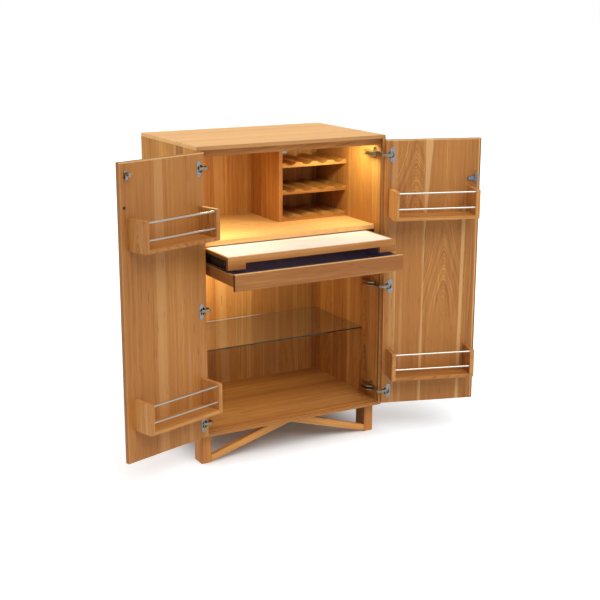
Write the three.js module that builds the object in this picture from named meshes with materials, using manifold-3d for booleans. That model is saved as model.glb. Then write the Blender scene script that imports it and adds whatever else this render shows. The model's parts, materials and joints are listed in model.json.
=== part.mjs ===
import * as THREE from 'three';
import { mergeVertices } from 'three/addons/utils/BufferGeometryUtils.js';
import Module from 'manifold-3d';

const wasm = await Module();
wasm.setup();

// Bar armoire, in millimetres.
// Everything is placed in the case's own frame: X to the right, Y from the case's front edge
// to its back and Z up from the floor, with X zero half way along the case.

// The case
const CASE_WIDTH = 914;
const CASE_DEPTH = 592;
const CASE_HEIGHT = 1251;
const PANEL_THICKNESS = 16;
const BACK_THICKNESS = 6;
const BACK_INSET = 6;
const DOOR_STOP_SETBACK = 22;
const FLOOR_STEP = 7;
const HEADER_HEIGHT = 29;
const HEADER_THICKNESS = 19;
const EDGE_EASE = 0.8;

// The leg frames
const LEG_HEIGHT = 137;
const LEG_WIDTH = 46;
const LEG_DEPTH = 71;
const LEG_SIDE_INSET = 17;
const LEG_FRONT_SETBACK = 43;
const BRACE_THICKNESS = 22;
const BRACE_FOOT_LOW = 5;
const BRACE_FOOT_HIGH = 33;
const BRACE_APEX_DROP = 19;
const BRACE_TOP_FLAT = 124;

// The doors, their clearances and the angle that they stand open at
const DOOR_THICKNESS = 19;
const DOOR_GAP = 2;
const DOOR_OPEN_ANGLE = 162;
const PIVOT_OUTWARD = 2;
const PIVOT_FORWARD = 6;
const SEAT_GAP = 0.3;

// The hinges. The middle one hangs a drop below the blocks that carry the drawer's runners, and
// the others are measured from the door's ends.
const TOP_HINGE_DROP = 66;
const MIDDLE_HINGE_DROP = 118;
const BOTTOM_HINGE_RISE = 59;
const CUP_EDGE_DISTANCE = 22;
const CUP_RADIUS = 17.5;
const CUP_WALL = 1.4;
const CUP_DEPTH = 12;
const FLANGE_LENGTH = 68;
const FLANGE_WIDTH = 20;
const FLANGE_OFFSET = 9;
const FLANGE_THICKNESS = 1.5;
const CUP_PIN_RADIUS = 2;
const CUP_PIN_ACROSS = 24.35;
const CUP_PIN_DEEP = 16.79;
const LINK_HALF_WIDTH = 3;
const LINK_HEIGHT = 12;
const LINK_HOLE_CLEARANCE = 0.3;
const LINK_ROLLER_RADIUS = 2.6;
const LINK_ELBOW_ACROSS = 11.7;
const LINK_ELBOW_FORWARD = 39.86;
const LINK_NECK_ACROSS = 19.88;
const LINK_NECK_FORWARD = 27.56;
const LINK_END_ACROSS = 9.88;
const LINK_END_DEEP = 32.4;
const ARM_FRONT = 23.5;
const ARM_LENGTH = 112;
const ARM_BASE = 2.5;
const ARM_WALL = 2.2;
const ARM_ROLLER_CLEARANCE = 0.3;
const ARM_HEIGHT = 39;
const ARM_NOSE = 19;
const ARM_TAIL = 12;
const ARM_HUMP_SETBACK = 16;
const ARM_HUMP_LENGTH = 58;
const WING_LENGTH = 52;
const WING_WIDTH = 30;
const WING_SETBACK = 58;

// The door racks: the upper ones hang from the door's top and the lower ones are measured from
// its lower edge
const RACK_EDGE_INSET = 17;
const RACK_LENGTH = 388;
const RACK_DEPTH = 106;
const RACK_HEIGHT = 128;
const RACK_END_THICKNESS = 19;
const RACK_BOTTOM_THICKNESS = 15;
const RACK_CORNER_RADIUS = 5;
const RACK_ROD_RADIUS = 4;
const RACK_ROD_SEAT = 7;
const RACK_ROD_SETBACK = 8;
const RACK_TOP_ROD_DROP = 8.5;
const RACK_LOW_ROD_DROP = 78;
const UPPER_RACK_DROP = 216.5;
const LOWER_RACK_TOP = 265;

// The upper bay: its shelf is measured down from the case's top
const UPPER_SHELF_DROP = 408;
const UPPER_SHELF_THICKNESS = 20;
const UPPER_SHELF_SETBACK = 57;
const DIVIDER_CENTRE = 95;
const DIVIDER_THICKNESS = 19;
const DIVIDER_SETBACK = 305;
const WINE_SHELF_COUNT = 3;
const WINE_TOP_ROOM = 23;
const WINE_SHELF_THICKNESS = 21;
const WINE_SHELF_BACK_GAP = 5;
const WINE_DIP_DEPTH = 12;
const WINE_DIP_RADIUS = 38;
const WINE_DIP_COUNT = 4;
const STEM_CHANNEL_COUNT = 4;
const STEM_SLOT = 28;
const STEM_WALL = 30;
const STEM_PLATE = 6;
const STEM_FOOT_SPACE = 16;
const STEM_FLANGE = 8;
const STEM_SETBACK = 125;
const STEM_BACK_GAP = 35;

// The glass shelf and its pins
const GLASS_RISE = 335;
const GLASS_THICKNESS = 6;
const GLASS_SETBACK = 145;
const GLASS_BACK_GAP = 5;
const GLASS_SIDE_GAP = 1.5;
const SHELF_PIN_RADIUS = 2.5;
const SHELF_PIN_LENGTH = 8;
const SHELF_PIN_INSET = 55;

// The sliding board and the drawer
const SIDE_GAP = 35.5;
const FITTINGS_SETBACK = 125;
const FITTINGS_BACK_GAP = 15;
const BOARD_OUT = 171;
const BOARD_CLEARANCE = 5;
const BOARD_RAIL_HEIGHT = 52;
const BOARD_RAIL_THICKNESS = 16;
const BOARD_EDGE_HEIGHT = 13;
const BOARD_EDGE_WIDTH = 10;
const BOARD_PANEL_THICKNESS = 18;
const NOTCH_HALF_WIDTH = 325;
const NOTCH_HEIGHT = 25;
const BOARD_SLIDE_HEIGHT = 41.7;
const SLIDE_WEB = 2;
const SLIDE_LIP = 3;
const SLIDE_HOLE_RADIUS = 3;
const SLIDE_FIRST_HOLE = 20;
const SLIDE_HOLE_PITCH = 32;
const SLIDE_RUNNING_GAP = 0.3;
const DRAWER_OUT = 234;
const DRAWER_CLEARANCE = 5.5;
const DRAWER_FRONT_HEIGHT = 69;
const DRAWER_FRONT_THICKNESS = 18;
const DRAWER_BOX_RISE = 15;
const DRAWER_BOX_HEIGHT = 48;
const DRAWER_SIDE_INSET = 2;
const DRAWER_WALL = 12;
const DRAWER_BOTTOM = 6;
const DRAWER_BOTTOM_RISE = 6;

// The runners on the case's sides
const SPACER_THICKNESS = 22;
const SPACER_FRONT = 60;
const SPACER_BACK_GAP = 20;
const SPACER_TOP_GAP = 4;
const RUNNER_FRONT_GAP = 7;
const RUNNER_WIDTH = 25;
const RUNNER_HEIGHT = 7;

// The elbow catch on the left door and its strike under the header
const CATCH_FROM_EDGE = 30;
const CATCH_DROP = 48;
const CATCH_WIDTH = 16;
const CATCH_PLATE_HEIGHT = 30;
const CATCH_PLATE = 2;
const CATCH_EAR_REACH = 12;
const CATCH_EAR_HEIGHT = 14;
const CATCH_EAR_THICKNESS = 2;
const CATCH_PIN_RADIUS = 1.6;
const CATCH_PIN_REACH = 8;
const CATCH_CLEARANCE = 0.3;
const LEVER_RING = 3.6;
const LEVER_REACH = 19;
const LEVER_ARM = 3.2;
const LEVER_HOOK_RISE = 15;
const LEVER_TAIL = 19;
const LEVER_TAIL_LEAN = 5;
const LEVER_RELEASE_ANGLE = 20;
const STRIKE_WIDTH = 20;
const STRIKE_DEPTH = 15;
const STRIKE_THICKNESS = 2;
const STRIKE_DROP = 11;

// The cam lock on the right door
const LOCK_FROM_EDGE = 22;
const LOCK_DROP = 178;
const LOCK_BARREL_RADIUS = 9;
const LOCK_BARREL_CLEARANCE = 0.3;
const LOCK_ROSE_RADIUS = 12;
const LOCK_ROSE_THICKNESS = 1.6;
const LOCK_HOUSING_LENGTH = 38;
const LOCK_HOUSING_HALF_HEIGHT = 8;
const LOCK_HOUSING_THICKNESS = 9;
const LOCK_SPINDLE_RADIUS = 3;
const LOCK_CAM_THICKNESS = 2.5;
const LOCK_CAM_WIDTH = 13;
const LOCK_CAM_REACH = 28;
const LOCK_CAM_TAIL = 15;

// Worked out from the sizes above
const caseLow = LEG_HEIGHT;
const caseTop = LEG_HEIGHT + CASE_HEIGHT;
const halfWidth = CASE_WIDTH / 2;
const innerHalf = halfWidth - PANEL_THICKNESS;
const floorFront = caseLow + PANEL_THICKNESS;
const floorTop = floorFront + FLOOR_STEP;
const ceiling = caseTop - PANEL_THICKNESS;
const backFace = CASE_DEPTH - BACK_INSET - BACK_THICKNESS;
const doorLow = floorFront + DOOR_GAP;
const doorHigh = ceiling - DOOR_GAP;
const doorWidth = innerHalf - DOOR_GAP - DOOR_GAP / 2;
const openAngle = THREE.MathUtils.degToRad(DOOR_OPEN_ANGLE);
const upperShelfTop = caseTop - UPPER_SHELF_DROP;
const wineShelfPitch = (ceiling - upperShelfTop - WINE_TOP_ROOM) / WINE_SHELF_COUNT;
const fittingsHalf = innerHalf - SIDE_GAP;
const fittingsDepth = backFace - FITTINGS_BACK_GAP - FITTINGS_SETBACK;

// The finishes
const finish = (color, roughness, metalness) => new THREE.MeshStandardMaterial({ color, roughness, metalness });
const cherry = finish(0xb9753f, 0.5, 0);
const paleCherry = finish(0xc98c55, 0.5, 0);
const maple = finish(0xe8cfa2, 0.55, 0);
const blackSteel = finish(0x1d1c20, 0.5, 0.6);
const nickel = finish(0xa9a9ab, 0.25, 1);
const satinSteel = finish(0xcdcbc4, 0.35, 1);
const glass = new THREE.MeshStandardMaterial({ color: 0xcfe3da, roughness: 0.05, transparent: true, opacity: 0.35 });

const armoire = new THREE.Group();
const caseFrame = new THREE.Group();
armoire.add(caseFrame);

function piece(parent, name, geometry, material) {
  const mesh = new THREE.Mesh(geometry, material);
  mesh.name = name;
  parent.add(mesh);
  return mesh;
}

// Shapes: every span is a pair, its low end and its high end
const middle = ([low, high]) => (low + high) / 2;
const length = ([low, high]) => high - low;

function block(x, y, z) {
  const geometry = new THREE.BoxGeometry(length(x), length(y), length(z));
  return geometry.translate(middle(x), middle(y), middle(z));
}

// A board with its edges eased all round
function easedBoard(x, y, z, ease = EDGE_EASE) {
  const [left, right] = [x[0] + ease, x[1] - ease];
  const [front, back] = [y[0] + ease, y[1] - ease];
  const corner = ease / 2;
  const outline = new THREE.Shape();
  outline.moveTo(left + corner, front);
  outline.lineTo(right - corner, front);
  outline.lineTo(right, front + corner);
  outline.lineTo(right, back - corner);
  outline.lineTo(right - corner, back);
  outline.lineTo(left + corner, back);
  outline.lineTo(left, back - corner);
  outline.lineTo(left, front + corner);
  outline.closePath();
  const geometry = new THREE.ExtrudeGeometry(outline, {
    depth: length(z) - 2 * ease,
    bevelEnabled: true,
    bevelThickness: ease,
    bevelSize: ease,
    bevelSegments: 1,
  });
  return geometry.translate(0, 0, z[0] + ease);
}

function extrude(outline, span, curveSegments = 8) {
  return new THREE.ExtrudeGeometry(outline, { depth: length(span), bevelEnabled: false, curveSegments });
}

// An outline drawn in X and Y, taken up through a span of Z
function extrudeUp(outline, z, curveSegments) {
  return extrude(outline, z, curveSegments).translate(0, 0, z[0]);
}

// An outline drawn in X and Z, taken back through a span of Y
function extrudeBack(outline, y, curveSegments) {
  return extrude(outline, y, curveSegments).rotateX(Math.PI / 2).translate(0, y[1], 0);
}

// An outline drawn in Y and Z, taken across through a span of X
function extrudeAcross(outline, x, curveSegments) {
  const turn = new THREE.Matrix4().makeBasis(
    new THREE.Vector3(0, 1, 0),
    new THREE.Vector3(0, 0, 1),
    new THREE.Vector3(1, 0, 0),
  );
  return extrude(outline, x, curveSegments).applyMatrix4(turn).translate(x[0], 0, 0);
}

function polygon(points) {
  return new THREE.Shape(points.map(([a, b]) => new THREE.Vector2(a, b)));
}

function rectangle(a, b) {
  return polygon([[a[0], b[0]], [a[1], b[0]], [a[1], b[1]], [a[0], b[1]]]);
}

function rodAcross(radius, x, y, z, sides = 16) {
  return new THREE.CylinderGeometry(radius, radius, length(x), sides).rotateZ(Math.PI / 2).translate(middle(x), y, z);
}

function rodBack(radius, x, y, z, sides = 24) {
  return new THREE.CylinderGeometry(radius, radius, length(y), sides).translate(x, middle(y), z);
}

function rodUp(radius, x, y, z, sides = 16) {
  return new THREE.CylinderGeometry(radius, radius, length(z), sides).rotateX(Math.PI / 2).translate(x, y, middle(z));
}

// Joins and cuts
function toSolid(geometry) {
  const bare = geometry.clone();
  bare.deleteAttribute('normal');
  bare.deleteAttribute('uv');
  const merged = mergeVertices(bare);
  const vertProperties = new Float32Array(merged.attributes.position.array);
  const triVerts = new Uint32Array(merged.index.array);
  return new wasm.Manifold(new wasm.Mesh({ numProp: 3, vertProperties, triVerts }));
}

function toGeometry(solid) {
  const mesh = solid.getMesh();
  const geometry = new THREE.BufferGeometry();
  geometry.setAttribute('position', new THREE.BufferAttribute(mesh.vertProperties, 3));
  geometry.setIndex(new THREE.BufferAttribute(mesh.triVerts, 1));
  geometry.computeVertexNormals();
  return geometry;
}

function join(first, ...others) {
  return toGeometry(others.reduce((solid, other) => solid.add(toSolid(other)), toSolid(first)));
}

function cut(first, ...tools) {
  return toGeometry(tools.reduce((solid, tool) => solid.subtract(toSolid(tool)), toSolid(first)));
}

// Case panels
function buildCase() {
  const across = [-innerHalf, innerHalf];
  piece(caseFrame, 'top_panel', easedBoard([-halfWidth, halfWidth], [0, CASE_DEPTH], [ceiling, caseTop]), paleCherry);
  const floorOutline = polygon([
    [0, caseLow],
    [CASE_DEPTH, caseLow],
    [CASE_DEPTH, floorFront],
    [backFace, floorFront],
    [backFace, floorTop],
    [DOOR_STOP_SETBACK, floorTop],
    [DOOR_STOP_SETBACK, floorFront],
    [0, floorFront],
  ]);
  piece(caseFrame, 'bottom_panel', extrudeAcross(floorOutline, across), cherry);
  const backSpan = [backFace, backFace + BACK_THICKNESS];
  piece(caseFrame, 'back_panel', block(across, backSpan, [floorFront, ceiling]), cherry);
  const headerSpan = [DOOR_STOP_SETBACK, DOOR_STOP_SETBACK + HEADER_THICKNESS];
  piece(caseFrame, 'header_rail', block(across, headerSpan, [ceiling - HEADER_HEIGHT, ceiling]), cherry);
  for (const [side, sign] of [['left', -1], ['right', 1]]) {
    const spanX = sign < 0 ? [-halfWidth, -innerHalf] : [innerHalf, halfWidth];
    const panel = block(spanX, [0, CASE_DEPTH], [caseLow, ceiling]);
    piece(caseFrame, `${side}_side_panel`, join(panel, ...shelfPins(sign)), cherry);
  }
}

// The four pins that carry the glass shelf, two to a side panel
function shelfPins(sign) {
  const pinHeight = caseLow + GLASS_RISE - SHELF_PIN_RADIUS;
  const reach = sign * (innerHalf - SHELF_PIN_LENGTH);
  const root = sign * (innerHalf + PANEL_THICKNESS / 2);
  const span = [Math.min(reach, root), Math.max(reach, root)];
  const places = [GLASS_SETBACK + SHELF_PIN_INSET, backFace - GLASS_BACK_GAP - SHELF_PIN_INSET];
  return places.map((y) => rodAcross(SHELF_PIN_RADIUS, span, y, pinHeight, 12));
}

// One glued-up leg frame: two legs and the V-shaped brace that leans up from their feet
function legFrame(legSpan, braceSpan) {
  const outer = halfWidth - LEG_SIDE_INSET;
  const inner = outer - LEG_WIDTH;
  const leg = (sign) => {
    const x = sign < 0 ? [-outer, -inner] : [inner, outer];
    return block(x, legSpan, [0, LEG_HEIGHT]);
  };
  const apex = LEG_HEIGHT - BRACE_APEX_DROP;
  const brace = polygon([
    [-inner, BRACE_FOOT_LOW],
    [0, apex],
    [inner, BRACE_FOOT_LOW],
    [inner, BRACE_FOOT_HIGH],
    [BRACE_TOP_FLAT / 2, LEG_HEIGHT],
    [-BRACE_TOP_FLAT / 2, LEG_HEIGHT],
    [-inner, BRACE_FOOT_HIGH],
  ]);
  return join(extrudeBack(brace, braceSpan), leg(-1), leg(1));
}

function buildLegFrames() {
  const front = LEG_FRONT_SETBACK;
  const rear = CASE_DEPTH - LEG_FRONT_SETBACK;
  const frontBrace = [front, front + BRACE_THICKNESS];
  const rearBrace = [rear - BRACE_THICKNESS, rear];
  piece(caseFrame, 'front_leg_frame', legFrame([front, front + LEG_DEPTH], frontBrace), cherry);
  piece(caseFrame, 'rear_leg_frame', legFrame([rear - LEG_DEPTH, rear], rearBrace), cherry);
}

// Upper bay
function buildUpperBay() {
  const shelfSpan = [UPPER_SHELF_SETBACK, backFace];
  const shelfHeight = [upperShelfTop - UPPER_SHELF_THICKNESS, upperShelfTop];
  piece(caseFrame, 'upper_shelf', block([-innerHalf, innerHalf], shelfSpan, shelfHeight), paleCherry);
  const divider = [DIVIDER_CENTRE - DIVIDER_THICKNESS / 2, DIVIDER_CENTRE + DIVIDER_THICKNESS / 2];
  piece(caseFrame, 'bay_divider', block(divider, [DIVIDER_SETBACK, backFace], [upperShelfTop, ceiling]), cherry);
  ['lower', 'middle', 'upper'].forEach((level, index) => {
    const low = upperShelfTop + index * wineShelfPitch;
    piece(caseFrame, `${level}_wine_shelf`, wineShelf([divider[1], innerHalf], low), cherry);
  });
  piece(caseFrame, 'stemware_rack', stemwareRack([-innerHalf, divider[0]]), cherry);
}

// A bottle shelf with a row of round dips along its top
function wineShelf(x, low) {
  const crest = low + WINE_SHELF_THICKNESS;
  const pitch = length(x) / WINE_DIP_COUNT;
  const rise = WINE_DIP_RADIUS - WINE_DIP_DEPTH;
  const halfChord = Math.sqrt(WINE_DIP_RADIUS ** 2 - rise ** 2);
  const tilt = Math.atan2(rise, halfChord);
  const outline = new THREE.Shape();
  outline.moveTo(x[0], low);
  outline.lineTo(x[1], low);
  outline.lineTo(x[1], crest);
  for (let dip = WINE_DIP_COUNT - 1; dip >= 0; dip -= 1) {
    const centre = x[0] + (dip + 0.5) * pitch;
    outline.lineTo(centre + halfChord, crest);
    outline.absarc(centre, crest + rise, WINE_DIP_RADIUS, -tilt, tilt - Math.PI, true);
  }
  outline.lineTo(x[0], crest);
  outline.closePath();
  return extrudeBack(outline, [DIVIDER_SETBACK, backFace - WINE_SHELF_BACK_GAP], 10);
}

// The rack that stemware hangs in: a row of slots between T-shaped rails
function stemwareRack(x) {
  const pitch = length(x) / STEM_CHANNEL_COUNT;
  const plateLow = ceiling - STEM_PLATE;
  const flangeHigh = plateLow - STEM_FOOT_SPACE;
  const flangeLow = flangeHigh - STEM_FLANGE;
  const halfSlot = STEM_SLOT / 2;
  const halfFoot = (pitch - STEM_WALL) / 2;
  const points = [[x[0], ceiling], [x[0], flangeLow]];
  for (let channel = 0; channel < STEM_CHANNEL_COUNT; channel += 1) {
    const centre = x[0] + (channel + 0.5) * pitch;
    points.push([centre - halfSlot, flangeLow], [centre - halfSlot, flangeHigh]);
    points.push([centre - halfFoot, flangeHigh], [centre - halfFoot, plateLow]);
    points.push([centre + halfFoot, plateLow], [centre + halfFoot, flangeHigh]);
    points.push([centre + halfSlot, flangeHigh], [centre + halfSlot, flangeLow]);
  }
  points.push([x[1], flangeLow], [x[1], ceiling]);
  return extrudeBack(polygon(points), [STEM_SETBACK, backFace - STEM_BACK_GAP]);
}

function buildGlassShelf() {
  const low = caseLow + GLASS_RISE;
  const reach = innerHalf - GLASS_SIDE_GAP;
  const spanY = [GLASS_SETBACK, backFace - GLASS_BACK_GAP];
  piece(caseFrame, 'glass_shelf', easedBoard([-reach, reach], spanY, [low, low + GLASS_THICKNESS]), glass);
}

// Sliding board and drawer. Heights follow from the upper shelf down.
const boardTop = upperShelfTop - UPPER_SHELF_THICKNESS - BOARD_CLEARANCE;
const boardRailLow = boardTop - BOARD_RAIL_HEIGHT;
const slideTop = boardTop - BOARD_EDGE_HEIGHT;
const slideLow = slideTop - BOARD_SLIDE_HEIGHT;
const drawerTop = boardRailLow - DRAWER_CLEARANCE;
const drawerLow = drawerTop - DRAWER_FRONT_HEIGHT;
const drawerBoxLow = drawerLow + DRAWER_BOX_RISE;

function buildBoard() {
  const board = new THREE.Group();
  board.position.y = -BOARD_OUT;
  caseFrame.add(board);
  const half = fittingsHalf;
  const inner = half - BOARD_EDGE_WIDTH;
  const railBack = BOARD_RAIL_THICKNESS;
  const rail = polygon([
    [-half, boardRailLow],
    [-NOTCH_HALF_WIDTH, boardRailLow],
    [-NOTCH_HALF_WIDTH, boardRailLow + NOTCH_HEIGHT],
    [NOTCH_HALF_WIDTH, boardRailLow + NOTCH_HEIGHT],
    [NOTCH_HALF_WIDTH, boardRailLow],
    [half, boardRailLow],
    [half, boardTop],
    [-half, boardTop],
  ]);
  const edging = rectangle([-half, half], [0, fittingsDepth]);
  edging.holes.push(rectangle([-inner, inner], [railBack, fittingsDepth - BOARD_EDGE_WIDTH]));
  const edgeRing = extrudeUp(edging, [boardTop - BOARD_EDGE_HEIGHT, boardTop]);
  piece(board, 'board_frame', join(extrudeBack(rail, [0, railBack]), edgeRing), cherry);
  const panelX = [-inner + SEAT_GAP, inner - SEAT_GAP];
  const panelY = [railBack + SEAT_GAP, fittingsDepth - BOARD_EDGE_WIDTH - SEAT_GAP];
  piece(board, 'maple_board', block(panelX, panelY, [boardTop - BOARD_PANEL_THICKNESS, boardTop]), maple);
  for (const [side, sign] of [['left', -1], ['right', 1]]) {
    piece(board, `${side}_board_slide`, boardSlide(sign), blackSteel);
  }
}

// The slide member under the board's edge: a channel open to the case's side
function boardSlide(sign) {
  const [outer, inner] = [fittingsHalf, fittingsHalf - BOARD_EDGE_WIDTH];
  const web = inner + SLIDE_WEB;
  const channel = polygon([
    [sign * inner, slideLow],
    [sign * outer, slideLow],
    [sign * outer, slideLow + SLIDE_LIP],
    [sign * web, slideLow + SLIDE_LIP],
    [sign * web, slideTop - SLIDE_LIP],
    [sign * outer, slideTop - SLIDE_LIP],
    [sign * outer, slideTop],
    [sign * inner, slideTop],
  ]);
  const front = BOARD_RAIL_THICKNESS;
  const bar = extrudeBack(channel, [front, fittingsDepth]);
  const height = (slideLow + slideTop) / 2;
  const through = sign < 0 ? [-outer, -inner + SLIDE_WEB] : [inner - SLIDE_WEB, outer];
  const holes = [SLIDE_FIRST_HOLE, SLIDE_FIRST_HOLE + SLIDE_HOLE_PITCH].map((y) =>
    rodAcross(SLIDE_HOLE_RADIUS, through, front + y, height, 12),
  );
  return cut(bar, ...holes);
}

function buildDrawer() {
  const drawer = new THREE.Group();
  drawer.position.y = -DRAWER_OUT;
  caseFrame.add(drawer);
  const front = [0, DRAWER_FRONT_THICKNESS];
  const frontBoard = easedBoard([-fittingsHalf, fittingsHalf], front, [drawerLow, drawerTop]);
  piece(drawer, 'drawer_front', frontBoard, cherry);
  const half = fittingsHalf - DRAWER_SIDE_INSET;
  const boxY = [DRAWER_FRONT_THICKNESS, fittingsDepth];
  const boxHigh = drawerBoxLow + DRAWER_BOX_HEIGHT;
  const inside = [half - DRAWER_WALL, boxY[0] + DRAWER_WALL, boxY[1] - DRAWER_WALL];
  const bottomLow = drawerBoxLow + DRAWER_BOTTOM_RISE;
  const hollowX = [-inside[0], inside[0]];
  const hollowY = [inside[1], inside[2]];
  const above = block(hollowX, hollowY, [bottomLow + DRAWER_BOTTOM, boxHigh + DRAWER_WALL]);
  const below = block(hollowX, hollowY, [drawerBoxLow - DRAWER_WALL, bottomLow]);
  const shell = cut(block([-half, half], boxY, [drawerBoxLow, boxHigh]), above, below);
  piece(drawer, 'drawer_box', shell, paleCherry);
}

// The blocks that bring the runners out from the case's sides. Each carries the bar that the
// board's slide runs on and the ledge that the drawer's side runs on.
function buildRunners() {
  const spacerInner = innerHalf - SPACER_THICKNESS;
  const backEnd = backFace - SPACER_BACK_GAP;
  const barLow = slideLow + SLIDE_LIP + SLIDE_RUNNING_GAP;
  const barHigh = slideTop - SLIDE_LIP - SLIDE_RUNNING_GAP;
  const ledgeHigh = drawerBoxLow - SEAT_GAP;
  const barFront = FITTINGS_SETBACK + BOARD_RAIL_THICKNESS + RUNNER_FRONT_GAP;
  const ledgeFront = FITTINGS_SETBACK + DRAWER_FRONT_THICKNESS + RUNNER_FRONT_GAP;
  const barInner = fittingsHalf - BOARD_EDGE_WIDTH + SLIDE_WEB + SLIDE_RUNNING_GAP;
  const spacerHigh = upperShelfTop - UPPER_SHELF_THICKNESS - SPACER_TOP_GAP;
  const overlap = SPACER_THICKNESS / 2;
  for (const [side, sign] of [['left', -1], ['right', 1]]) {
    const span = (near, far) => (sign < 0 ? [-far, -near] : [near, far]);
    const spacer = block(span(spacerInner, innerHalf), [SPACER_FRONT, backEnd], [drawerLow, spacerHigh]);
    const bar = block(span(barInner, spacerInner + overlap), [barFront, backEnd], [barLow, barHigh]);
    const ledgeX = span(spacerInner - RUNNER_WIDTH, spacerInner + overlap);
    const ledge = block(ledgeX, [ledgeFront, backEnd], [ledgeHigh - RUNNER_HEIGHT, ledgeHigh]);
    piece(caseFrame, `${side}_runner_spacer`, join(spacer, bar, ledge), blackSteel);
  }
}

// Hinges. Each has an arm on the case's side, a cup let into the door and a link between them.
// Across is measured inwards from the side panel's inner face and deep back from the case's
// front. The doors turn about an upright axis just outside and just in front of that corner.
const hingeHeights = {
  top: doorHigh - TOP_HINGE_DROP,
  middle: drawerLow - MIDDLE_HINGE_DROP,
  bottom: doorLow + BOTTOM_HINGE_RISE,
};

function hingeArm(side, sign, height) {
  const x = (across) => sign * (innerHalf - across);
  const tail = ARM_FRONT + ARM_LENGTH;
  const inHalf = LINK_HEIGHT / 2 + ARM_ROLLER_CLEARANCE + LINK_HOLE_CLEARANCE;
  const outHalf = inHalf + ARM_WALL;
  const wallOutline = polygon([
    [x(0), ARM_FRONT],
    [x(ARM_NOSE), ARM_FRONT],
    [x(ARM_HEIGHT), ARM_FRONT + ARM_HUMP_SETBACK],
    [x(ARM_HEIGHT), ARM_FRONT + ARM_HUMP_SETBACK + ARM_HUMP_LENGTH],
    [x(ARM_TAIL), tail - ARM_TAIL / 2],
    [x(ARM_TAIL / 2), tail],
    [x(0), tail],
  ]);
  const arm = extrudeUp(wallOutline, [height - outHalf, height + outHalf]);
  const far = ARM_HEIGHT + ARM_WALL;
  const hollowX = [Math.min(x(ARM_BASE), x(far)), Math.max(x(ARM_BASE), x(far))];
  const hollow = block(hollowX, [0, tail + ARM_WALL], [height - inHalf, height + inHalf]);
  const wing = wingPlate(x, height);
  return piece(caseFrame, `${side}_hinge_arm`, join(cut(arm, hollow), wing), nickel);
}

// The round-ended plate under the arm that takes its screws
function wingPlate(x, height) {
  const half = WING_WIDTH / 2;
  const straight = WING_LENGTH / 2 - half;
  const outline = new THREE.Shape();
  outline.moveTo(WING_SETBACK - half, height - straight);
  outline.absarc(WING_SETBACK, height - straight, half, Math.PI, 2 * Math.PI, false);
  outline.lineTo(WING_SETBACK + half, height + straight);
  outline.absarc(WING_SETBACK, height + straight, half, 0, Math.PI, false);
  outline.closePath();
  return extrudeAcross(outline, [Math.min(x(0), x(ARM_BASE)), Math.max(x(0), x(ARM_BASE))], 8);
}

// A door's pieces are drawn with the door shut, round the hinge axis: X runs from the axis
// towards the other door, Y back into the case. The group then turns to the open angle.
function doorFrame(sign) {
  const group = new THREE.Group();
  group.position.set(sign * (innerHalf + PIVOT_OUTWARD), -PIVOT_FORWARD, 0);
  group.rotation.z = sign * openAngle;
  caseFrame.add(group);
  const along = (distance) => -sign * (PIVOT_OUTWARD + DOOR_GAP + distance);
  const span = (near, far) => {
    const [a, b] = [along(near), along(far)];
    return [Math.min(a, b), Math.max(a, b)];
  };
  const outerFace = PIVOT_FORWARD;
  const innerFace = PIVOT_FORWARD + DOOR_THICKNESS;
  return { group, sign, along, span, outerFace, innerFace };
}

function doorLeaf(door, side, extraHoles) {
  const { span, along, innerFace, outerFace } = door;
  const board = easedBoard(span(0, doorWidth), [outerFace, innerFace], [doorLow, doorHigh]);
  const holeSpan = [innerFace - CUP_DEPTH - SEAT_GAP, innerFace + CUP_DEPTH];
  const holes = Object.values(hingeHeights).map((height) =>
    rodBack(CUP_RADIUS + SEAT_GAP, along(CUP_EDGE_DISTANCE), holeSpan, height, 32),
  );
  piece(door.group, `${side}_door`, cut(board, ...holes, ...extraHoles), cherry);
}

// The cup, its round-ended flange and the pin across it
function hingeCup(door, name, height) {
  const { along, innerFace, sign } = door;
  const centre = along(CUP_EDGE_DISTANCE);
  const flangeCentre = along(CUP_EDGE_DISTANCE + FLANGE_OFFSET);
  const faceY = innerFace + SEAT_GAP;
  const half = FLANGE_WIDTH / 2;
  const straight = FLANGE_LENGTH / 2 - half;
  const flange = new THREE.Shape();
  flange.moveTo(flangeCentre - half, height - straight);
  flange.absarc(flangeCentre, height - straight, half, Math.PI, 2 * Math.PI, false);
  flange.lineTo(flangeCentre + half, height + straight);
  flange.absarc(flangeCentre, height + straight, half, 0, Math.PI, false);
  flange.closePath();
  const rim = [faceY, faceY + FLANGE_THICKNESS];
  const low = innerFace - CUP_DEPTH;
  const body = rodBack(CUP_RADIUS, centre, [low, faceY + SEAT_GAP], height, 28);
  const hollow = rodBack(CUP_RADIUS - CUP_WALL, centre, [low + CUP_WALL, rim[1] + CUP_WALL], height, 28);
  const shell = cut(join(extrudeBack(flange, rim, 6), body), hollow);
  const pinX = -sign * (PIVOT_OUTWARD + CUP_PIN_ACROSS);
  const pinSpan = [height - CUP_RADIUS + CUP_WALL / 2, height + CUP_RADIUS - CUP_WALL / 2];
  const pin = rodUp(CUP_PIN_RADIUS, pinX, PIVOT_FORWARD + CUP_PIN_DEEP, pinSpan, 12);
  piece(door.group, `${name}_hinge_cup`, join(shell, pin), nickel);
}

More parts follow.
